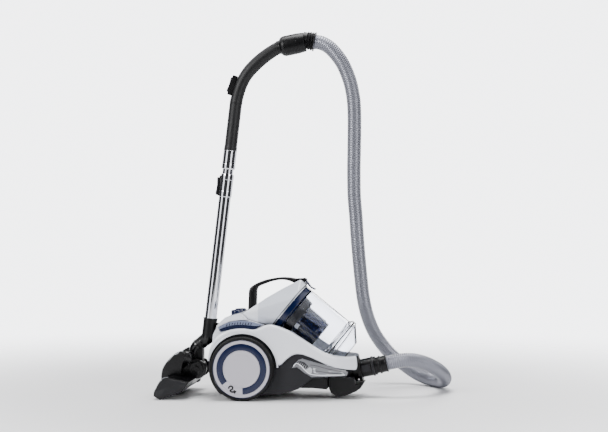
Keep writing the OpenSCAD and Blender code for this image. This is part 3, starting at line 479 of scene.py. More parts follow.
def wheel_arc(name, section, start, end, side, crease=35):
    """A section of (radius, Y) pairs carried around the axle from one angle to another.

    P = axle + (radius cos(a), side Y, radius sin(a)) for an angle a from start to end.
    """
    section = np.asarray(section, float)
    a = np.radians(np.linspace(start, end, int(abs(end - start)) + 2))[:, None]
    radius, y = section[:, 0][None], section[:, 1][None]
    rings = np.stack([radius * np.cos(a), side * y + 0 * a, radius * np.sin(a)], axis=-1)
    return skin(name, MM * (axle + rings), crease=crease)


arrow_angle = 247.5
arrow_half, arrow_head_half = 2.2, 6.4
arrow_tip, tip_steps = np.array([6.5, -4.5]), 12
arrow_bend = [[-12, 3], [-12.5, -2.5], [-8, -6.5], [-2.5, -4.5], [-2.5, 0.5], [-6, 5.5], [-1, 7.5], [5, 5]]


def arrow_strip(name, side):
    """A flat strip along an S-shaped bend in the gap, which widens into an arrow head.

    Each point (u, v) is laid off from the middle of the gap, u along the ring and v outwards.
    Half the width is arrow_half, and runs from arrow_head_half down to nothing over the head.
    """
    bend = smooth_line(np.insert(arrow_bend, 1, 0, axis=1), 0.6)[:, [0, 2]]
    path = np.vstack([bend, bend[-1] + np.linspace(0.02, 1, tip_steps)[:, None] * arrow_tip])
    half = np.concatenate([np.full(len(bend), arrow_half), arrow_head_half * np.linspace(1, 0.01, tip_steps)])
    ahead = np.gradient(path, axis=0)
    ahead[-tip_steps:] = arrow_tip
    ahead /= np.linalg.norm(ahead, axis=1, keepdims=True)
    a = np.radians(arrow_angle)
    turn = np.array([[-np.sin(a), np.cos(a)], [np.cos(a), np.sin(a)]])
    across = (np.stack([-ahead[:, 1], ahead[:, 0]], axis=1) * half[:, None]) @ turn
    middle = path @ turn + 0.5 * (ring_outer + ring_inner) * turn[1]
    low, high = disc_face - 0.3, disc_face + 0.5
    corners = [(middle - across, low), (middle - across, high), (middle + across, high),
               (middle + across, low)]
    rings = np.stack([np.stack([p[:, 0], np.full(len(path), side * y), p[:, 1]], 1) for p, y in corners], 1)
    return skin(name, MM * (axle + rings), crease=30)


tread = [[disc_radius, 112.2], [84.6, 112.2], [87.6, 113.6], [88.6, 116.5]]
for y in np.arange(118, 131, 2.6):
    tread += [[wheel_radius, y], [wheel_radius, y + 1.7], [88.35, y + 1.8], [88.35, y + 2.5]]
tread += [[wheel_radius, 131.2], [88.7, 134.2], [87.4, 136.5], [85.4, 137.8], [82, 137.9], [80.3, 137.1],
          [disc_radius, 136]]
ring_section = softened([[ring_inner, disc_face - 2.1], [ring_inner, disc_face + 0.4],
                         [ring_outer, disc_face + 0.4], [ring_outer, disc_face - 2.1]], 0.7)
disc_profile = softened(
    [[0, 120], [74, 120], [75.4, 114.2], [79.45, 114.2], [79.45, disc_face - 0.4], [78.2, disc_face + 0.3],
     [76.8, disc_face + 0.3], [76.2, disc_face - 0.5], [70.6, disc_face - 0.5], [69.8, disc_face - 2.2],
     [52.2, disc_face - 2.2], [51.6, disc_face + 0.1], [49.6, disc_face + 0.1], [48.8, disc_face - 0.7],
     [40, disc_face - 0.9], [0, disc_face - 1.1]], 0.5, closed=False)

for name, side in (("left", 1), ("right", -1)):
    body, outward = "wheel_" + name, (0, side, 0)
    tyre = turned("tyre_" + name + "_rubber", softened(tread, 0.35, steps=3), axle, outward, sides=160)
    dress(tyre, tyre_rubber, body, ["tyre_" + name])
    disc = turned("disc_" + name + "_face", disc_profile, axle, outward, sides=160, ends="cap")
    dress(disc, pearl_grey, body, ["wheel_disc_" + name])
    bridge = wheel_arc("disc_bridge_" + name, softened(
        [[ring_inner - 0.5, disc_face - 2.1], [ring_inner - 0.5, disc_face], [ring_outer + 0.5, disc_face],
         [ring_outer + 0.5, disc_face - 2.1]], 0.3), *ring_opening, side)
    dress(bridge, pearl_grey, body)
    ring = wheel_arc("ring_" + name + "_arc", ring_section, ring_opening[1] - 360, ring_opening[0], side)
    dress(ring, navy_gloss, body, ["wheel_ring_" + name])
    line = turned("disc_line_" + name, softened([[79.5, 135.2], [79.6, 136.6], [80.8, 137.5], [81, 135.2]],
                                                0.3), axle, outward, sides=160)
    dress(line, navy_gloss, body)
    dress(arrow_strip("arrow_" + name, side), black_gloss, body)

# ---- White side shells --------------------------------------------------------------------
# Two glossy white mouldings clipped over the chassis. Each runs from a fender over the wheel to
# a long nose at the hose socket, follows the taper of the body and rolls over at its edges.

shell_top = [[[-171.5, 120], [-171, 130], [-168, 146], [-160, 163], [-149, 177], [-136, 187], [-115, 195.5],
              [-91, 199.6], [-75.5, 200]],
             [[-75.5, 200], [-64, 198.5], [-52, 197.5], [-39, 198], [-28, 203], [-17, 208], [-6, 210.4],
              [5, 210.9], [30, 204]],
             [[30, 204], [57, 193], [88, 174], [119, 154], [151, 134], [182, 123.5], [214, 119.5],
              [230, 120.5], [236.5, 119], [238, 100]]]
shell_foot = [[170, 162, 150, 135, 120, 105, 90], [90, 75, 60, 45, 30, 15, 4],
              [[22.3, 96], [31, 98.5], [47, 115], [60, 125.5], [73, 130.5], [90, 129.5], [110, 123],
               [133, 112], [154, 101.5], [176.6, 91.6], [208, 84.5], [236, 80], [238, 84], [238, 92]]]
plan_edge = np.array([[-200, 118], [70, 118], [110, 115], [150, 105], [185, 88], [215, 69], [239, 50]])
arch_radius = 98


def arch_points(angles):
    """Points on the wheel arch, a circle about the axle in [X, Z]."""
    a = np.radians(angles)
    return np.stack([axle[0] + arch_radius * np.cos(a), axle[2] + arch_radius * np.sin(a)], axis=1)


def joined(parts, counts):
    """Each part of a line evened to its count of points, put end to end and smoothed a little."""
    line = np.vstack([*(evened(p, count)[:-1] for p, count in zip(parts, counts)), parts[-1][-1:]])
    for _ in range(6):
        line[1:-1] = 0.25 * line[:-2] + 0.5 * line[1:-1] + 0.25 * line[2:]
    return line


def rolled_panel(name, top, foot, side, inner, roll=9.0, flat=10, drop=0.0):
    """A panel ruled from a foot line to a top line, with a quarter round along both edges.

    With s across the panel, W wide, and R the roll: within R of an edge the point lies
    R (1 - cos q) from it and stands R (1 - sin q) below the side's plan line, q from 0 to 90
    degrees. Between, the panel is full. Both edges then run straight in to the inner plane.
    """
    width = np.linalg.norm(top - foot, axis=1)[:, None]
    radius = np.minimum(roll, 0.45 * width)
    run = np.concatenate([[0], np.cumsum(np.linalg.norm(np.diff(foot, axis=0), axis=1))])
    end = np.minimum(run, run[-1] - run)[:, None]
    q = np.radians(np.linspace(0, 90, 7))[None]
    edge, middle = radius * (1 - np.cos(q)), np.linspace(0, 1, flat + 2)[None, 1:-1]
    across = np.hstack([edge, radius + (width - 2 * radius) * middle, width - edge[:, ::-1]]) / width
    sunk = np.hstack([radius * (1 - np.sin(q)), 0 * radius * middle, radius * (1 - np.sin(q[:, ::-1]))])
    near_end = 1 - np.minimum(end / roll, 1)
    sunk = np.maximum(sunk, roll * (1 - np.sqrt(1 - near_end**2)) + drop)
    xz = foot[:, None] + across[..., None] * (top - foot)[:, None]
    y = np.interp(xz[..., 0], *plan_edge.T) - sunk
    xz = np.concatenate([foot[:, None], xz, top[:, None]], axis=1)
    y = np.hstack([np.minimum(inner, y[:, :1] - 2), y, np.minimum(inner, y[:, -1:] - 2)])
    return skin(name, MM * np.stack([xz[..., 0], side * y, xz[..., 1]], axis=-1), crease=50)


top_line = joined(shell_top, (40, 40, 90))
foot_line = joined([arch_points(shell_foot[0]), np.vstack([arch_points(shell_foot[1]), [22.3, 96]]),
                    shell_foot[2]], (40, 40, 90))
for name, side in (("left", 1), ("right", -1)):
    panel = rolled_panel("shell_" + name, top_line, foot_line, side, inner=96)
    dress(panel, white_gloss, "vacuum", ["side_shell_" + name])
    arch = np.insert(arch_points(np.linspace(168, 2, 90)), 1, side * 115.6, axis=1)
    lip = skin("arch_lip_" + name, rings_along(MM * arch, 2.6 * MM * circle(16)))
    dress(lip, white_gloss, "vacuum")

# ---- Hood, rear cover and chassis ---------------------------------------------------------
# White moulded hood behind the dust cup, its colour painted paler behind the crease across it as a painted
# highlight and greyer in front of it as painted shade, the white rear cover, and under them the satin dark
# grey chassis tub with its black tray and wedge bumper. All keep the CAD's shape, with their edges eased.

hood_white = moulded("hood_white", (0.72, 0.745, 0.80), 0.2, drift=0.04, depth=0.02, Coat_Weight=0.5,
                     Coat_Roughness=0.08)
hood_tree = hood_white.node_tree
# The hood's own colour is replaced by two tones split at the crease: pale behind it as a painted highlight,
# greyer in front of it as painted shade.
hood_place = add_node(hood_tree, "ShaderNodeTexCoord")
hood_x = add_node(hood_tree, "ShaderNodeSeparateXYZ", [("Vector", hood_place, "Object")])
painted_light_split = add_node(hood_tree, "ShaderNodeMapRange", [("Value", hood_x, "X")], From_Min=-0.0385,
                       From_Max=-0.0365)
painted_light_tone = add_node(hood_tree, "ShaderNodeMix", [("Factor", painted_light_split, "Result")], data_type="RGBA")
painted_light_tone.inputs["A"].default_value = (0.86, 0.88, 0.93, 1)
painted_light_tone.inputs["B"].default_value = (0.62, 0.65, 0.72, 1)
hood_tree.links.new(painted_light_tone.outputs["Result"], hood_tree.nodes["Group"].inputs["Color"])
window_smoke = moulded("window_smoke", (0.22, 0.225, 0.245), 0.12, depth=0.02, Alpha=0.72, Coat_Weight=0.6,
                       Coat_Roughness=0.05)
for name, node, ease, material, slot, body in (
        ("hood", "bin_hood", 1.2, hood_white, "white_shell", "bin"),
        ("back_cover", "rear_cover", 1.6, white_gloss, "white_shell", "vacuum"),
        ("tub", "chassis", 1.4, charcoal_satin, "charcoal", "vacuum"),
        ("tray", "undertray", 1.2, black_satin, "black_plastic", "vacuum"),
        ("bumper", "front_bumper", 2.0, black_satin, "black_plastic", "vacuum"),
        ("socket_plate", "hose_socket", 1.2, black_satin, "black_plastic", "vacuum"),
        ("park_bracket", "park_socket", 1.2, black_satin, "black_plastic", "vacuum"),
        ("side_windows", "duct_windows", 0.8, window_smoke, "smoke_clear", "vacuum")):
    dress(cad_copy(name, node, ease), material, body, [node])

# ---- Duct windows -------------------------------------------------------------------------
# Each smoky window has a moulded relief on its face: a bright curved slot line, a dark ribbed
# wedge, and paler channels. All are thin mouldings.

window_pale = moulded("window_pale", (0.5, 0.51, 0.54), 0.2, depth=0.02, Coat_Weight=0.4)
window_dark = moulded("window_dark", (0.006, 0.006, 0.009), 0.3, depth=0.05)
flank_x, flank_y = [60, 70, 110, 150, 185, 214], [106.4, 106.4, 103.4, 93.4, 76.4, 57.4]


def on_window(points, side, lift):
    """Points (x, z) laid on the window's curved face and lifted off it, in metres."""
    points = np.asarray(points, float)
    y = side * (np.interp(points[:, 0], flank_x, flank_y) + lift)
    return MM * np.stack([points[:, 0], y, points[:, 1]], axis=1)


relief_layers = ((-1.2, 1.0), (0.3, 1.0), (0.7, 0.97))
for name, side in (("left", 1), ("right", -1)):
    for part, outline, material in (
            ("wedge", [[72, 101], [82, 111.5], [97, 107], [108, 96], [100, 88.5], [88, 98]], window_dark),
            ("channel", [[120, 92], [168, 80.5], [200, 76], [204, 70], [160, 70], [122, 78]], window_pale),
            ("fold", [[100, 86], [112, 94], [118, 88], [116, 76], [108, 76]], window_pale)):
        relief = layered(f"window_{part}_{name}", softened(outline, 2.5), relief_layers,
                         lambda q, y: on_window(q, side, y))
        dress(relief, material, "vacuum")
    for part, route, size, material in (
            ("slot", [[66, 96], [74, 104], [86, 98.5], [97, 87], [110, 76], [130, 71.5], [170, 70],
                      [205, 69]], 1.3, white_gloss),
            ("rib_low", [[118, 84], [140, 81], [170, 75.5], [200, 72.5]], 0.8, window_dark),
            ("rib_high", [[112, 100], [130, 97], [160, 88], [195, 79]], 0.8, window_dark)):
        line = evened(smooth_line(np.insert(np.array(route, float), 1, 0, axis=1), 1.0), count=60)
        tube = rings_along(on_window(line[:, [0, 2]], side, 0.2), circle(12), size * MM)
        dress(skin(f"window_{part}_{name}", tube), material, "vacuum")
    ridges = []
    for k in range(5):
        foot = np.array([76, 99.5]) + k * np.array([5.6, -2.0])
        top = np.array([83, 109]) + k * np.array([4.6, -2.6])
        line = on_window(foot + np.linspace(0, 1, 6)[:, None] * (top - foot), side, 0.9)
        ridges.append(skin(f"window_ridge_{name}_{k}", rings_along(line, circle(8), 0.5 * MM)))
    dress(merged("window_ridges_" + name, ridges), window_pale, "vacuum")

# ---- Rear louvres and buttons -------------------------------------------------------------
# Under each side of the rear cover lies a tinted strip: a paler, see-through upper half over a
# dark navy lower half, with fine exhaust slots. Two round navy buttons stand in the cover.

tinted_blue = moulded("tinted_blue", (0.20, 0.23, 0.34), 0.15, depth=0.02, Alpha=0.9, Coat_Weight=0.5,
                      Coat_Roughness=0.05)
deep_navy = moulded("deep_navy", (0.0008, 0.0045, 0.030), 0.2, depth=0.03, Coat_Weight=0.4,
                    Coat_Roughness=0.06)
strip_top = [[-146, 202], [-128, 212], [-106, 219], [-84.5, 222], [-50, 218.5], [-30, 213], [-19, 210.5]]
strip_middle = [[-144, 196], [-128, 202.5], [-106, 208], [-84.5, 210], [-50, 208], [-36, 206], [-24, 209]]
strip_foot = [[-138, 189], [-124, 193.5], [-106, 197.5], [-84.5, 200.5], [-62, 199.6], [-44, 196], [-36, 200]]
slot_sides = 16
for name, side in (("left", 1), ("right", -1)):
    lines = [evened(softened(p, 12, closed=False), count=60) for p in (strip_top, strip_middle, strip_foot)]
    upper = rolled_panel("louvre_upper_" + name, lines[0], lines[1] + [0, 0.4], side, 96, roll=2.0, drop=6.0)
    dress(upper, tinted_blue, "vacuum", ["exhaust_grille_" + name])
    lower = rolled_panel("louvre_lower_" + name, lines[1] - [0, 0.4], lines[2], side, 96, roll=2.0, drop=5.2)
    dress(lower, deep_navy, "vacuum")
    slots = []
    for k in range(10):
        x = -121 + 7.6 * k
        z = np.interp(x, *np.array(strip_middle).T) + 1.8
        outline = circle(slot_sides, 1.3) + np.where(circle(slot_sides)[:, 1:] > 0, [[1.4, 4.2]], [[0, 0]])
        ring = np.stack([x + outline[:, 0], np.full(slot_sides, side * 112.3), z + outline[:, 1]], 1)
        slots.append(skin(f"louvre_slot_{name}_{k}", MM * np.stack([ring - [0, side * 4, 0], ring])))
    dress(merged("louvre_slots_" + name, slots), black_satin, "vacuum")

button_tilt = heading(-2)
button_profile = softened([[0, -6], [14, -6], [14, -3.5], [16.9, -3.5], [16.9, 7.6], [14.6, 10.6], [12, 10.2],
                           [0, 9.3]], 1.6, closed=False)
for name, side in (("power", -1), ("rewind", 1)):
    cap = turned(name + "_cap", button_profile, (-105, side * 31, 235.5), button_tilt, ends="cap")
    dress(cap, navy_gloss, name + "_button", [name + "_button"])

# ---- Carry handle and bin latch -----------------------------------------------------------
# A black moulded handle springs from the back of the hood and runs forward to its peak. It is a
# rounded bar, thicker at its foot. The navy latch lever hangs in lugs at its front end.

handle_outer = [[-78.5, 236], [-76.6, 275], [-74.3, 302.8], [-61.2, 316], [-39.3, 326.6], [-15.7, 333.2],
                [14.4, 338.1], [41.2, 337.8], [61, 334.9], [83, 334]]
handle_inner = [[-53.6, 245], [-52.7, 279.8], [-51.8, 301.1], [-46, 311.1], [-27.6, 319.2], [-9.2, 325.8],
                [14.4, 330.6], [31, 330], [44.4, 326.6], [62, 319]]


def bar_between(name, outer, inner, half_width, edge):
    """A bar whose side view lies between two lines, with rounded edges.

    Around section i the corner line of a rounded box is bent to fit: its first coordinate runs
    from the inner to the outer line, and its second from -half_width to half_width across.
    """
    box = softened([[-1, -1], [1, -1], [1, 1], [-1, 1]], edge, steps=7)
    middle, reach = (outer + inner) / 2, (outer - inner) / 2
    xz = middle[:, None] + box[None, :, :1] * reach[:, None]
    y = np.broadcast_to(half_width * box[None, :, 1], xz.shape[:2])
    return skin(name, MM * np.stack([xz[..., 0], y, xz[..., 1]], axis=-1), crease=50)


edges = [evened(smooth_line(p, 1.0), count=150) for p in (handle_outer, handle_inner)]
handle = bar_between("handle_bar", *edges, 14.8, 0.7)
dress(handle, black_satin, "bin", ["carry_handle"])
lug_outline = softened([[60, 322], [62, 335.2], [72, 335], [86, 336.5], [92, 332], [88, 327], [76, 322]], 3)
for side in (-1, 1):
    lug = np.stack([np.insert(lug_outline, 1, side * y, axis=1) for y in (10.5, 11.2, 14.2, 14.8)])
    lug[[0, -1]] = lug[[0, -1]] * [0.985, 1, 0.995] + [1.1, 0, 1.6]
    dress(skin(f"handle_lug_{side + 1}", MM * lug, crease=50), black_satin, "bin")
lever_path = smooth_line(MM * np.array([[87.5, 0, 330.5], [92, 0, 324.5], [98.5, 0, 315.5],
                                        [104.5, 0, 309.5], [110, 0, 306.6], [115.5, 0, 304.3]]), 0.001)
lever_bar = softened([[-2, -9.8], [2, -9.8], [2, 9.8], [-2, 9.8]], 1.8, steps=5) * MM
lever = skin("latch_lever", rings_along(lever_path, lever_bar, np.linspace(1.15, 0.92, len(lever_path))))
dress(lever, navy_gloss, "bin_latch", ["bin_latch"])
knuckle = turned("latch_knuckle", softened([[1.9, -9.8], [3.8, -9.8], [3.8, 9.8], [1.9, 9.8]], 0.6),
                 (87, 0, 331.5), (0, 1, 0), sides=32)
dress(knuckle, navy_gloss, "bin_latch")

# ---- Dust bin -----------------------------------------------------------------------------
# The cup and the cone-shaped flap are clear polycarbonate, with a bright lip and a black seal
# between them. Inside hang the navy cyclone, its skirt with a dark mesh, and the navy collar.

bin_origin, bin_along = np.array([48.5, 0, 240]), heading(129)


def clear_plastic(name, color, roughness, ior=1.35, **shader):
    """See-through plastic; metal and transmission stay plain numbers, as glass needs."""
    material = bpy.data.materials.new(name)
    material.use_nodes = True
    tree = material.node_tree
    principled = tree.nodes["Principled BSDF"]
    haze = add_node(tree, "ShaderNodeTexNoise",
                    [("Vector", add_node(tree, "ShaderNodeTexCoord"), "Object")], Scale=22.0, Detail=4.0)
    spread = add_node(tree, "ShaderNodeMapRange", [("Value", haze, "Fac")], To_Min=roughness,
                      To_Max=roughness * 2.5)
    tree.links.new(spread.outputs["Result"], principled.inputs["Roughness"])
    for label, value in {"Base Color": (*color, 1), "IOR": ior, "Transmission Weight": 1.0, **shader}.items():
        principled.inputs[label.replace("_", " ")].default_value = value
    return material


clear_cup = clear_plastic("clear_cup", (0.93, 0.95, 1.0), 0.02)
tinted_navy = moulded("tinted_navy", (0.0010, 0.0055, 0.034), 0.16, depth=0.02, Coat_Weight=0.5,
                      Coat_Roughness=0.05)
mesh_grey = moulded("mesh_grey", (0.004, 0.0038, 0.0065), 0.45, depth=0.2)
seal_black = moulded("seal_black", (0.0015, 0.0015, 0.002), 0.45)

bright_line = moulded("bright_line", (0.75, 0.77, 0.82), 0.15, Metallic=0.6)


def about_bin(name, corners, radius, sides=128, **shape):
    """A softened profile turned about the bin's axis; shape is passed on, as turned takes it."""
    closed = shape.get("ends") != "cap"
    return turned(name, softened(corners, radius, closed=closed), bin_origin, bin_along, sides=sides, **shape)


cup = about_bin("cup_wall", [[79.6, 4], [82, 4], [82, 143], [84.5, 146.5], [90, 150], [90, 155],
                             [79.6, 155]], 1.0)
dress(cup, clear_cup, "bin", ["bin_cup"])
cup_seal = about_bin("cup_seal", [[82.6, 155.1], [90.4, 155.1], [90.4, 157.9], [82.6, 157.9]], 0.8)
dress(cup_seal, seal_black, "bin")
flap = about_bin("flap_cone", [[0, 196], [45.5, 196], [82.5, 161.5], [82.5, 158.6], [90, 158.6], [90, 162.4],
                               [87.2, 163], [48.4, 198.4], [0, 198.4]], 1.0, ends="cap")
dress(flap, clear_cup, "bin_flap", ["bin_flap"])
for name, low, high, radius, paint, slot in (
        ("hood_line", -17.2, -15.6, 86.5, seal_black, "black_plastic"),
        ("hood_trim", -15.4, -12.2, 84.5, bright_line, "white_shell"),
        ("collar_line", 3.0, 4.4, 82.2, seal_black, "black_plastic")):
    trim = about_bin(name, [[74, low], [radius, low], [radius, high], [74, high]], 0.5)
    dress(trim, paint, "bin")
collar = about_bin("collar_band", [[36, 0], [74, 0], [74, -12], [82, -12], [82, 3], [79.4, 9], [36, 9]], 0.8)
dress(collar, navy_gloss, "bin", ["bin_collar"])

cyclone = about_bin("cyclone_body", [
    [34, 9], [38, 9], [38, 27], [40.5, 29], [43, 31], [43, 36], [42, 37], [40.5, 88], [41.5, 89], [41.5, 92],
    [38.5, 94], [38, 105], [33, 105.5], [33, 100], [34, 40]], 1.0, sides=96)
dress(cyclone, tinted_navy, "bin", ["cyclone"])
rib_count = 18
ribs = []
for k in range(rib_count):
    a = 2 * np.pi * k / rib_count
    out = np.cos(a) * np.cross(bin_along, (0, 1, 0)) + np.sin(a) * np.array([0, 1, 0])
    across = np.cross(bin_along, out)
    ends = [bin_origin + along * bin_along + radius * out for along, radius in ((39, 41.0), (86, 40.0))]
    rib = np.stack([[p + 1.1 * across - 1.5 * out, p + 0.7 * across + 1.2 * out, p - 0.7 * across + 1.2 * out,
                     p - 1.1 * across - 1.5 * out] for p in ends])
    ribs.append(skin(f"cyclone_rib_{k}", MM * rib, crease=30))
dress(merged("cyclone_ribs", ribs), tinted_navy, "bin")
upward = np.cross(bin_along, (0, 1, 0))
fitting_frame = softened([[-7, -7], [7, -7], [7, 7], [-7, 7]], 1.5)
fitting_at = bin_origin + 38 * bin_along - 17 * upward
stack = [(36, 1.0), (42.5, 1.0), (43.5, 0.9), (43.5, 0.55), (41.5, 0.5)]
fitting = skin("cyclone_fitting", MM * np.stack([
    fitting_at + [0, -y, 0] + size * (fitting_frame[:, :1] * bin_along + fitting_frame[:, 1:] * upward)
    for y, size in stack]), crease=40)
dress(fitting, white_gloss, "bin")
shroud = about_bin("shroud_skirt", [[54, 9], [58, 9], [55, 30], [53, 34], [51, 34], [53, 28]], 0.8, sides=96)
dress(shroud, mesh_grey, "bin", ["cyclone_shroud"])

# ---- Wand ---------------------------------------------------------------------------------
# Two chromed steel tubes that telescope in a chromed sleeve with a dark grip slider, and a black
# moulded neck at the foot, bent back to the floor head and hooked into the body's park socket.

neck_top, wand_along = np.array([-187.6, 0, 219.6]), heading(6.8)


def brushed_chrome():
    """Bright plating: a mirror metal whose roughness drifts in streaks along the tube."""
    material = bpy.data.materials.new("tube_chrome")
    material.use_nodes = True
    tree = material.node_tree
    principled = tree.nodes["Principled BSDF"]
    place = add_node(tree, "ShaderNodeTexCoord")
    stretch = add_node(tree, "ShaderNodeMapping", [("Vector", place, "Object")], Scale=(260, 260, 6))
    streak = add_node(tree, "ShaderNodeTexNoise", [("Vector", stretch, "Vector")], Scale=1.0, Detail=3.0)
    spread = add_node(tree, "ShaderNodeMapRange", [("Value", streak, "Fac")], To_Min=0.035, To_Max=0.11)
    tree.links.new(spread.outputs["Result"], principled.inputs["Roughness"])
    principled.inputs["Base Color"].default_value = (0.74, 0.75, 0.79, 1)
    principled.inputs["Metallic"].default_value = 1.0
    return material


tube_chrome = brushed_chrome()
for name, profile, radius, body, node in (
        ("lower_tube", [[15.8, -38], [17, -38], [17, 400], [15.8, 400]], 0.4, "wand", "wand_tube"),
        ("lock_sleeve", [[17.05, 350], [18.1, 350], [18.6, 352], [18.6, 366], [18.2, 367.2], [18.2, 399],
                         [18.6, 400.2], [18.6, 412], [18.0, 416], [15.9, 416], [15.9, 400.5],
                         [17.05, 400.5]], 0.5, "wand", "wand_sleeve"),
        ("upper_tube_chrome", [[14.2, 30], [15.4, 30], [15.4, 430.5], [18.6, 431], [19.3, 433], [19.3, 444],
                               [18.8, 445.5], [18.8, 481], [19.2, 484], [14.2, 484]], 0.5, "grip",
         "upper_tube")):
    tube = turned(name, softened(profile, radius), neck_top, wand_along)
    dress(tube, tube_chrome, body, [node])


def plate_on(foot, along, name, outline, half_width, rim, edge, behind=1.0):
    """A bar across a tube from an outline of (distance along it from foot, distance behind it).

    The bar's two ends narrow over the last rim of its width, and behind scales the distance back.
    """
    back = behind * np.array([-along[2], 0, along[0]])
    layers = ((-half_width, rim[1]), (rim[0] - half_width, 1), (half_width - rim[0], 1), (half_width, rim[1]))
    return layered(name, softened(outline, edge), layers,
                   lambda q, y: MM * (foot + q[:, :1] * along + q[:, 1:] * back + [0, y, 0]))


saddle = plate_on(neck_top, wand_along, "sleeve_saddle", [[352, 15], [352, 21.3], [410, 21.3], [410, 15]], 7,
                  (1.2, 0.93), 1.0)
dress(saddle, black_satin, "wand")
catch = plate_on(neck_top, wand_along, "catch_slider", [
    [353, 21.9], [353.5, 25.5], [358, 27.8], [366, 25.8], [398, 25.8], [404, 27.9], [405, 21.9]], 8,
    (1.2, 0.93), 1.6)
dress(catch, charcoal_satin, "sleeve_catch", ["sleeve_catch"])

neck_profile = softened([[17.05, 0], [17.05, -39], [5, -41], [0, -41], [0, -54], [19.6, -54], [19.8, -40],
                         [19.8, -3], [21, -2.4], [21, 0]], 0.8, closed=False)
dress(turned("neck_sleeve", neck_profile, neck_top, wand_along), black_satin, "wand",
      ["wand_neck"])
elbow_path = smooth_line(MM * np.array([[-193.4, 0, 171], [-195, 0, 166], [-198.5, 0, 160.5], [-206, 0, 154],
                                        [-227, 0, 139]]), 0.0015)
along_elbow = np.linspace(0, 1, len(elbow_path))
elbow_size = 19.7 - 2.2 * np.clip((along_elbow - 0.15) / 0.3, 0, 1)
elbow_size += 0.9 * (np.abs(along_elbow - 0.62) < 0.05) + 0.9 * (np.abs(along_elbow - 0.93) < 0.07)
elbow = skin("neck_elbow", rings_along(elbow_path, circle(72), elbow_size * MM))
dress(elbow, black_gloss, "wand")
leg_line = MM * np.array([[-226, 0, 140.5], [-233, 0, 130], [-236, 0, 116], [-232, 0, 100], [-225, 0, 84]])
leg_path = smooth_line(leg_line, 0.002)
leg_size = MM * (17.6 - 2.2 * np.sin(np.pi * np.linspace(0, 1, len(leg_path))))
dress(skin("neck_leg", rings_along(leg_path, circle(56), leg_size)), black_gloss, "wand")
dress(cad_copy("neck_frame", "wand_neck", 1.0), black_satin, "wand", ["wand_neck"])

# ---- Grip ---------------------------------------------------------------------------------
# One black moulded pipe, curved from the tube to a thicker swivel housing, with a soft textured
# skin on its bends, seam beads where the mouldings meet, and a sliding air valve on its back.

soft_grip = moulded("soft_grip", (0.002, 0.002, 0.0027), 0.5, depth=0.5, spread=0.1, scale=2600.0,
                    Specular_IOR_Level=0.35)


def turned_on(start, heading_now, bends, steps):
    """Points along bends of (radius, angle), each an arc that carries on from the one before it."""
    points = [start]
    for bend_radius, turn in bends:
        for k in range(steps):
            middle = heading_now + turn * (k + 0.5) / steps
            chord = 2 * bend_radius * np.sin(np.radians(turn / steps / 2))
            points.append(points[-1] + chord * heading(middle))
        heading_now += turn
    return points


grip_foot = neck_top + 484.2 * wand_along
bend_line = turned_on(grip_foot + 124 * wand_along, 6.8, ((250, 15), (150, 22), (300, 19)), 24)
bend_line = np.vstack([grip_foot + np.linspace(0, 120, 30)[:, None] * wand_along, bend_line])
reach = np.linspace(0, 1, len(bend_line))
grip_size = 18.0 + 0.7 * np.sin(np.pi * np.clip((reach - 0.62) / 0.38, 0, 1)) ** 2
grip_size += 0.7 * (reach < 0.025) + 0.6 * (np.abs(reach - 0.35) < 0.008)
pipe_rings = rings_along(MM * bend_line, circle(72), MM * grip_size)
dress(skin("grip_pipe", pipe_rings, crease=45), soft_grip, "grip", ["grip"])
housing_along = heading(79)
housing = turned("swivel_housing", softened(
    [[12, -6], [18.6, -6], [19.2, 3], [25.6, 8], [28.6, 15], [29, 30], [28.9, 54], [27.2, 74], [26.6, 76],
     [20, 76], [20, 40]], 2.2), bend_line[-1], housing_along)
dress(housing, black_satin, "grip")
for name, at, size in (("housing_bead_28_9", 17.5, 28.9), ("housing_bead_29_0", 52.5, 29.0)):
    bead = softened([[size - 0.6, at - 1.1], [size + 0.45, at - 0.7], [size + 0.45, at + 0.7],
                     [size - 0.6, at + 1.1]], 0.4)
    dress(turned(name, bead, bend_line[-1], housing_along), black_gloss, "grip")

slider_foot, slider_along = np.array([-121, 0, 862]), heading(18)
rail = [[-6, 4], [-6, 18.4], [52, 18.4], [52, 4]]
valve = [[0.6, 17.2], [0.8, 21.6], [5, 23.6], [10, 22.2], [30, 21.4], [41, 22.8], [45.4, 20.6], [45.4, 17.2]]
for name, outline, half_width, material, slot, body, nodes in (
        ("air_rail", rail, 9.2, black_satin, "black_plastic", "grip", []),
        ("air_valve", valve, 7.8, charcoal_satin, "charcoal", "air_slider", ["air_slider"])):
    slider = plate_on(slider_foot, slider_along, name, outline, half_width, (1.3, 0.92), 1.6, behind=0.92)
    dress(slider, material, body, nodes)

# ---- Floor head ---------------------------------------------------------------------------
# Black moulded shell with a humped cover over the pivot, pale grey beads along the cover's
# edges that are painted highlights of its glossy edges, round caps on the pivot's ears, a steel sole, bristle
# strips and small rollers.

head_pivot, head_turn = np.array([-222.76, 0, 76.06]), np.radians(20)
head_black = moulded("head_black", (0.0012, 0.0012, 0.0016), 0.26, depth=0.12, Specular_IOR_Level=0.35)
head_grey = moulded("head_grey", (0.0045, 0.0045, 0.006), 0.4, depth=0.3, Specular_IOR_Level=0.3)
# Pale grey used only for the painted highlights along the head's glossy black edges.
edge_highlight_grey = moulded("edge_highlight_grey", (0.16, 0.165, 0.18), 0.35)
brushed_steel = moulded("brushed_steel", (0.045, 0.045, 0.05), 0.4, spread=0.4, scale=420.0, Metallic=1.0)
roller_grey = moulded("roller_grey", (0.05, 0.052, 0.058), 0.6)
bristle_black = moulded("bristle_black", (0.012, 0.011, 0.013), 0.7, drift=0.5, scale=5200.0, depth=0.8)


def on_head(x, y, z):
    """Points of the head's own frame, turned by its pitch about the pivot, in metres."""
    x, y, z = np.broadcast_arrays(np.asarray(x, float), y, z)
    c, s = np.cos(head_turn), np.sin(head_turn)
    return MM * (head_pivot + np.stack([x * c - z * s, y, x * s + z * c], axis=-1))


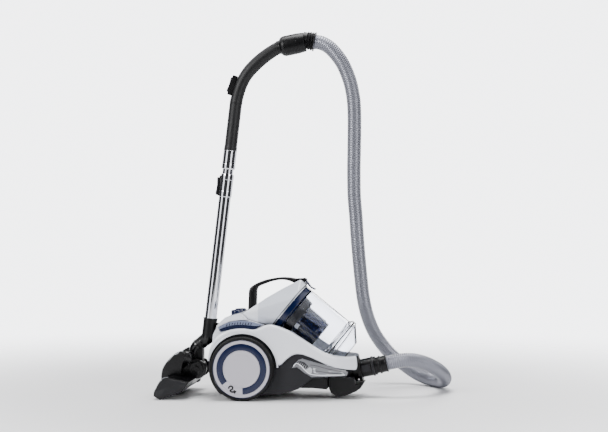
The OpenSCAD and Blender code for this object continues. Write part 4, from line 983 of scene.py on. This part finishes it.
for name, node, ease, material, slot, body in (
        ("head_shell", "head_body", 2.2, head_black, "black_plastic", "head"),
        ("head_hump", "head_cover", 2.4, head_black, "black_plastic", "head"),
        ("head_plate", "head_sole", 0.5, brushed_steel, "steel", "head"),
        ("head_switch", "head_pedal", 1.2, head_grey, "charcoal", "head_pedal"),
        ("head_wheels", "head_rollers", 1.2, roller_grey, "roller_rubber", "head_rollers")):
    dress(cad_copy(name, node, ease), material, body, [node])

hump_edge = np.array([[-97.5, 13], [-86, 32.6], [-67.5, 48], [-41.5, 60], [-22, 63.6], [-12.5, 59]])
fold_edge = np.array([[-112, -17], [-103.5, -9.4], [-90, 2.7], [-74, 10.8], [-60, 8.6]])
# Pale grey beads along the hump's edges and the end blocks' top edges: painted highlights that stand in for
# the shine along these glossy black edges.
for name, edge, y, size in (("hump_highlight_bead", hump_edge, 58.5, 1.2), ("fold_highlight_bead", fold_edge, 134, 1.0)):
    for side in (-1, 1):
        path = smooth_line(np.insert(edge, 1, 0, axis=1), 1.5)
        line = on_head(path[:, 0], side * y, path[:, 2])
        bead = skin(f"{name}_{side + 1}", rings_along(line, circle(16), size * MM))
        dress(bead, edge_highlight_grey, "head")
pivot_rings = softened([[0, 33], [0, 37], [9, 37], [9.6, 35.4], [13, 35.4], [13.6, 36.6], [20, 36.6],
                        [20.6, 35], [23.5, 34.8], [27.5, 34.6], [28, 31]], 0.5, closed=False)
cheek = softened([[-30, 27], [-17, 38], [-17, 56], [-24, 63.2], [-8, 61.5], [3, 55], [9, 43], [7, 28],
                  [-8, 21]], 4)
end_block = softened([[-108, -37.5], [-114.5, -27], [-111, -18.5], [-103, -11.5], [-89.5, 0.5], [-74, 8],
                      [-60, 5], [-44, -5], [-32, -12], [-13, -24.5], [-27.5, -33.5], [-41, -37.5]], 2.5)
for side in (-1, 1):
    cap = turned(f"pivot_cap_{side + 1}", pivot_rings, head_pivot, (0, side, 0))
    dress(cap, head_black, "head")
    for name, outline, layers, material, slot in (
            (f"hump_cheek_{side + 1}", cheek, ((26.5, 0.94), (28.5, 1.0), (52, 0.98), (58, 0.9), (61, 0.72)),
             head_black, "black_plastic"),
            (f"head_end_{side + 1}", end_block, ((134, 1.0), (136.4, 0.99), (137.4, 0.96)), head_grey,
             "charcoal")):
        block = layered(name, outline, layers, lambda q, y: on_head(q[:, 0], side * y, q[:, 1]), crease=45)
        dress(block, material, "head")

bristle_random = random.Random(11)


def bristle_strip(name, x):
    """Sixty tapered tufts side by side, each a ring of 8 points swept from its foot to its tip."""
    points, faces = [], []
    for y in np.linspace(-119, 119, 60):
        lean = bristle_random.uniform(-0.5, 0.5)
        line = on_head([x + 2.5, x + 2.5 + lean / 2, x + 2.5 + lean], [y, y + lean / 3, y + lean],
                       [-33.5, -37.5, -41.3])
        tuft = rings_along(line, circle(8), MM * np.array([1.1, 1.4, 1.7])).reshape(-1, 3)
        base = len(points)
        points.extend(tuft.tolist())
        for ring in range(2):
            for k in range(8):
                a, b = base + 8 * ring + k, base + 8 * ring + (k + 1) % 8
                faces.append((a, b, b + 8, a + 8))
        faces.append(tuple(base + k for k in reversed(range(8))))
        faces.append(tuple(base + 16 + k for k in range(8)))
    return mesh_object(name, np.array(points), faces)


for number, x in enumerate((-100, -52)):
    dress(bristle_strip(f"bristle_strip_{number}", x), bristle_black, "head_brushes",
          ["head_brushes"] if number == 0 else [])

# ---- Caster -------------------------------------------------------------------------------
# Small rubber wheel between the cheeks of a charcoal moulded fork, on a swivel stem under the
# front bumper.

dress(cad_copy("caster_yoke", "caster_fork", 0.8), charcoal_satin, "caster_fork", ["caster_fork"])
caster_tyre = turned("caster_tyre", softened(
    [[2.9, -6.8], [8, -6.8], [8.4, -6.0], [11, -6.0], [14, -3.2], [14, 3.2], [11, 6.0], [8.4, 6.0], [8, 6.8],
     [2.9, 6.8]], 1.2), (182, 0, 14), (0, 1, 0))
dress(caster_tyre, roller_grey, "caster_wheel", ["caster_wheel"])

# ---- Small fixings and the cord outlet ----------------------------------------------------
# The rubber gland that the mains cord comes out of, the steel wheel axles, and screws that hold
# the rear cover. The cord itself isn't part of the model.

for name, node, ease, material, slot in (
        ("cord_sleeve", "cord_gland", 0.8, seal_black, "black_plastic"),
        ("axle_pins", "wheel_axles", 0.4, brushed_steel, "steel"),
        ("base_screws", "cover_screws", 0.3, brushed_steel, "steel")):
    dress(cad_copy(name, node, ease), material, "vacuum", [node])

# ---- Inside of the body -------------------------------------------------------------------
# Motor in its moulded housing on rubber mounts, cord reel on its bracket, circuit board, foam
# filters and the intake duct. They show only through openings, so they keep the CAD's shapes.

inner_plastic = moulded("inner_plastic", (0.16, 0.165, 0.175), 0.45, depth=0.3)
foam_grey = moulded("foam_grey", (0.12, 0.12, 0.13), 0.9, drift=0.4, scale=3200.0, depth=1.0)
board_green = moulded("board_green", (0.012, 0.10, 0.04), 0.35, drift=0.15)
for name, node, material, slot, body in (
        ("motor_case", "motor_housing", inner_plastic, "inner_plastic", "vacuum"),
        ("motor_rings", "motor_mounts", roller_grey, "roller_rubber", "vacuum"),
        ("motor_core", "motor_rotor", brushed_steel, "steel", "motor_rotor"),
        ("reel_frame", "reel_bracket", inner_plastic, "inner_plastic", "vacuum"),
        ("reel_drum", "cable_reel", inner_plastic, "inner_plastic", "cable_reel"),
        ("control_board", "circuit_board", board_green, "board_green", "vacuum"),
        ("foam_filter", "pre_motor_filter", foam_grey, "filter_foam", "vacuum"),
        ("outlet_filter", "exhaust_filter", foam_grey, "filter_foam", "vacuum"),
        ("duct_body", "intake_duct", mesh_grey, "dark_mesh", "vacuum")):
    dress(cad_copy(name, node, 0.5), material, body, [node])

# ---- Last update of the scene -------------------------------------------------------------

bpy.context.view_layer.update()
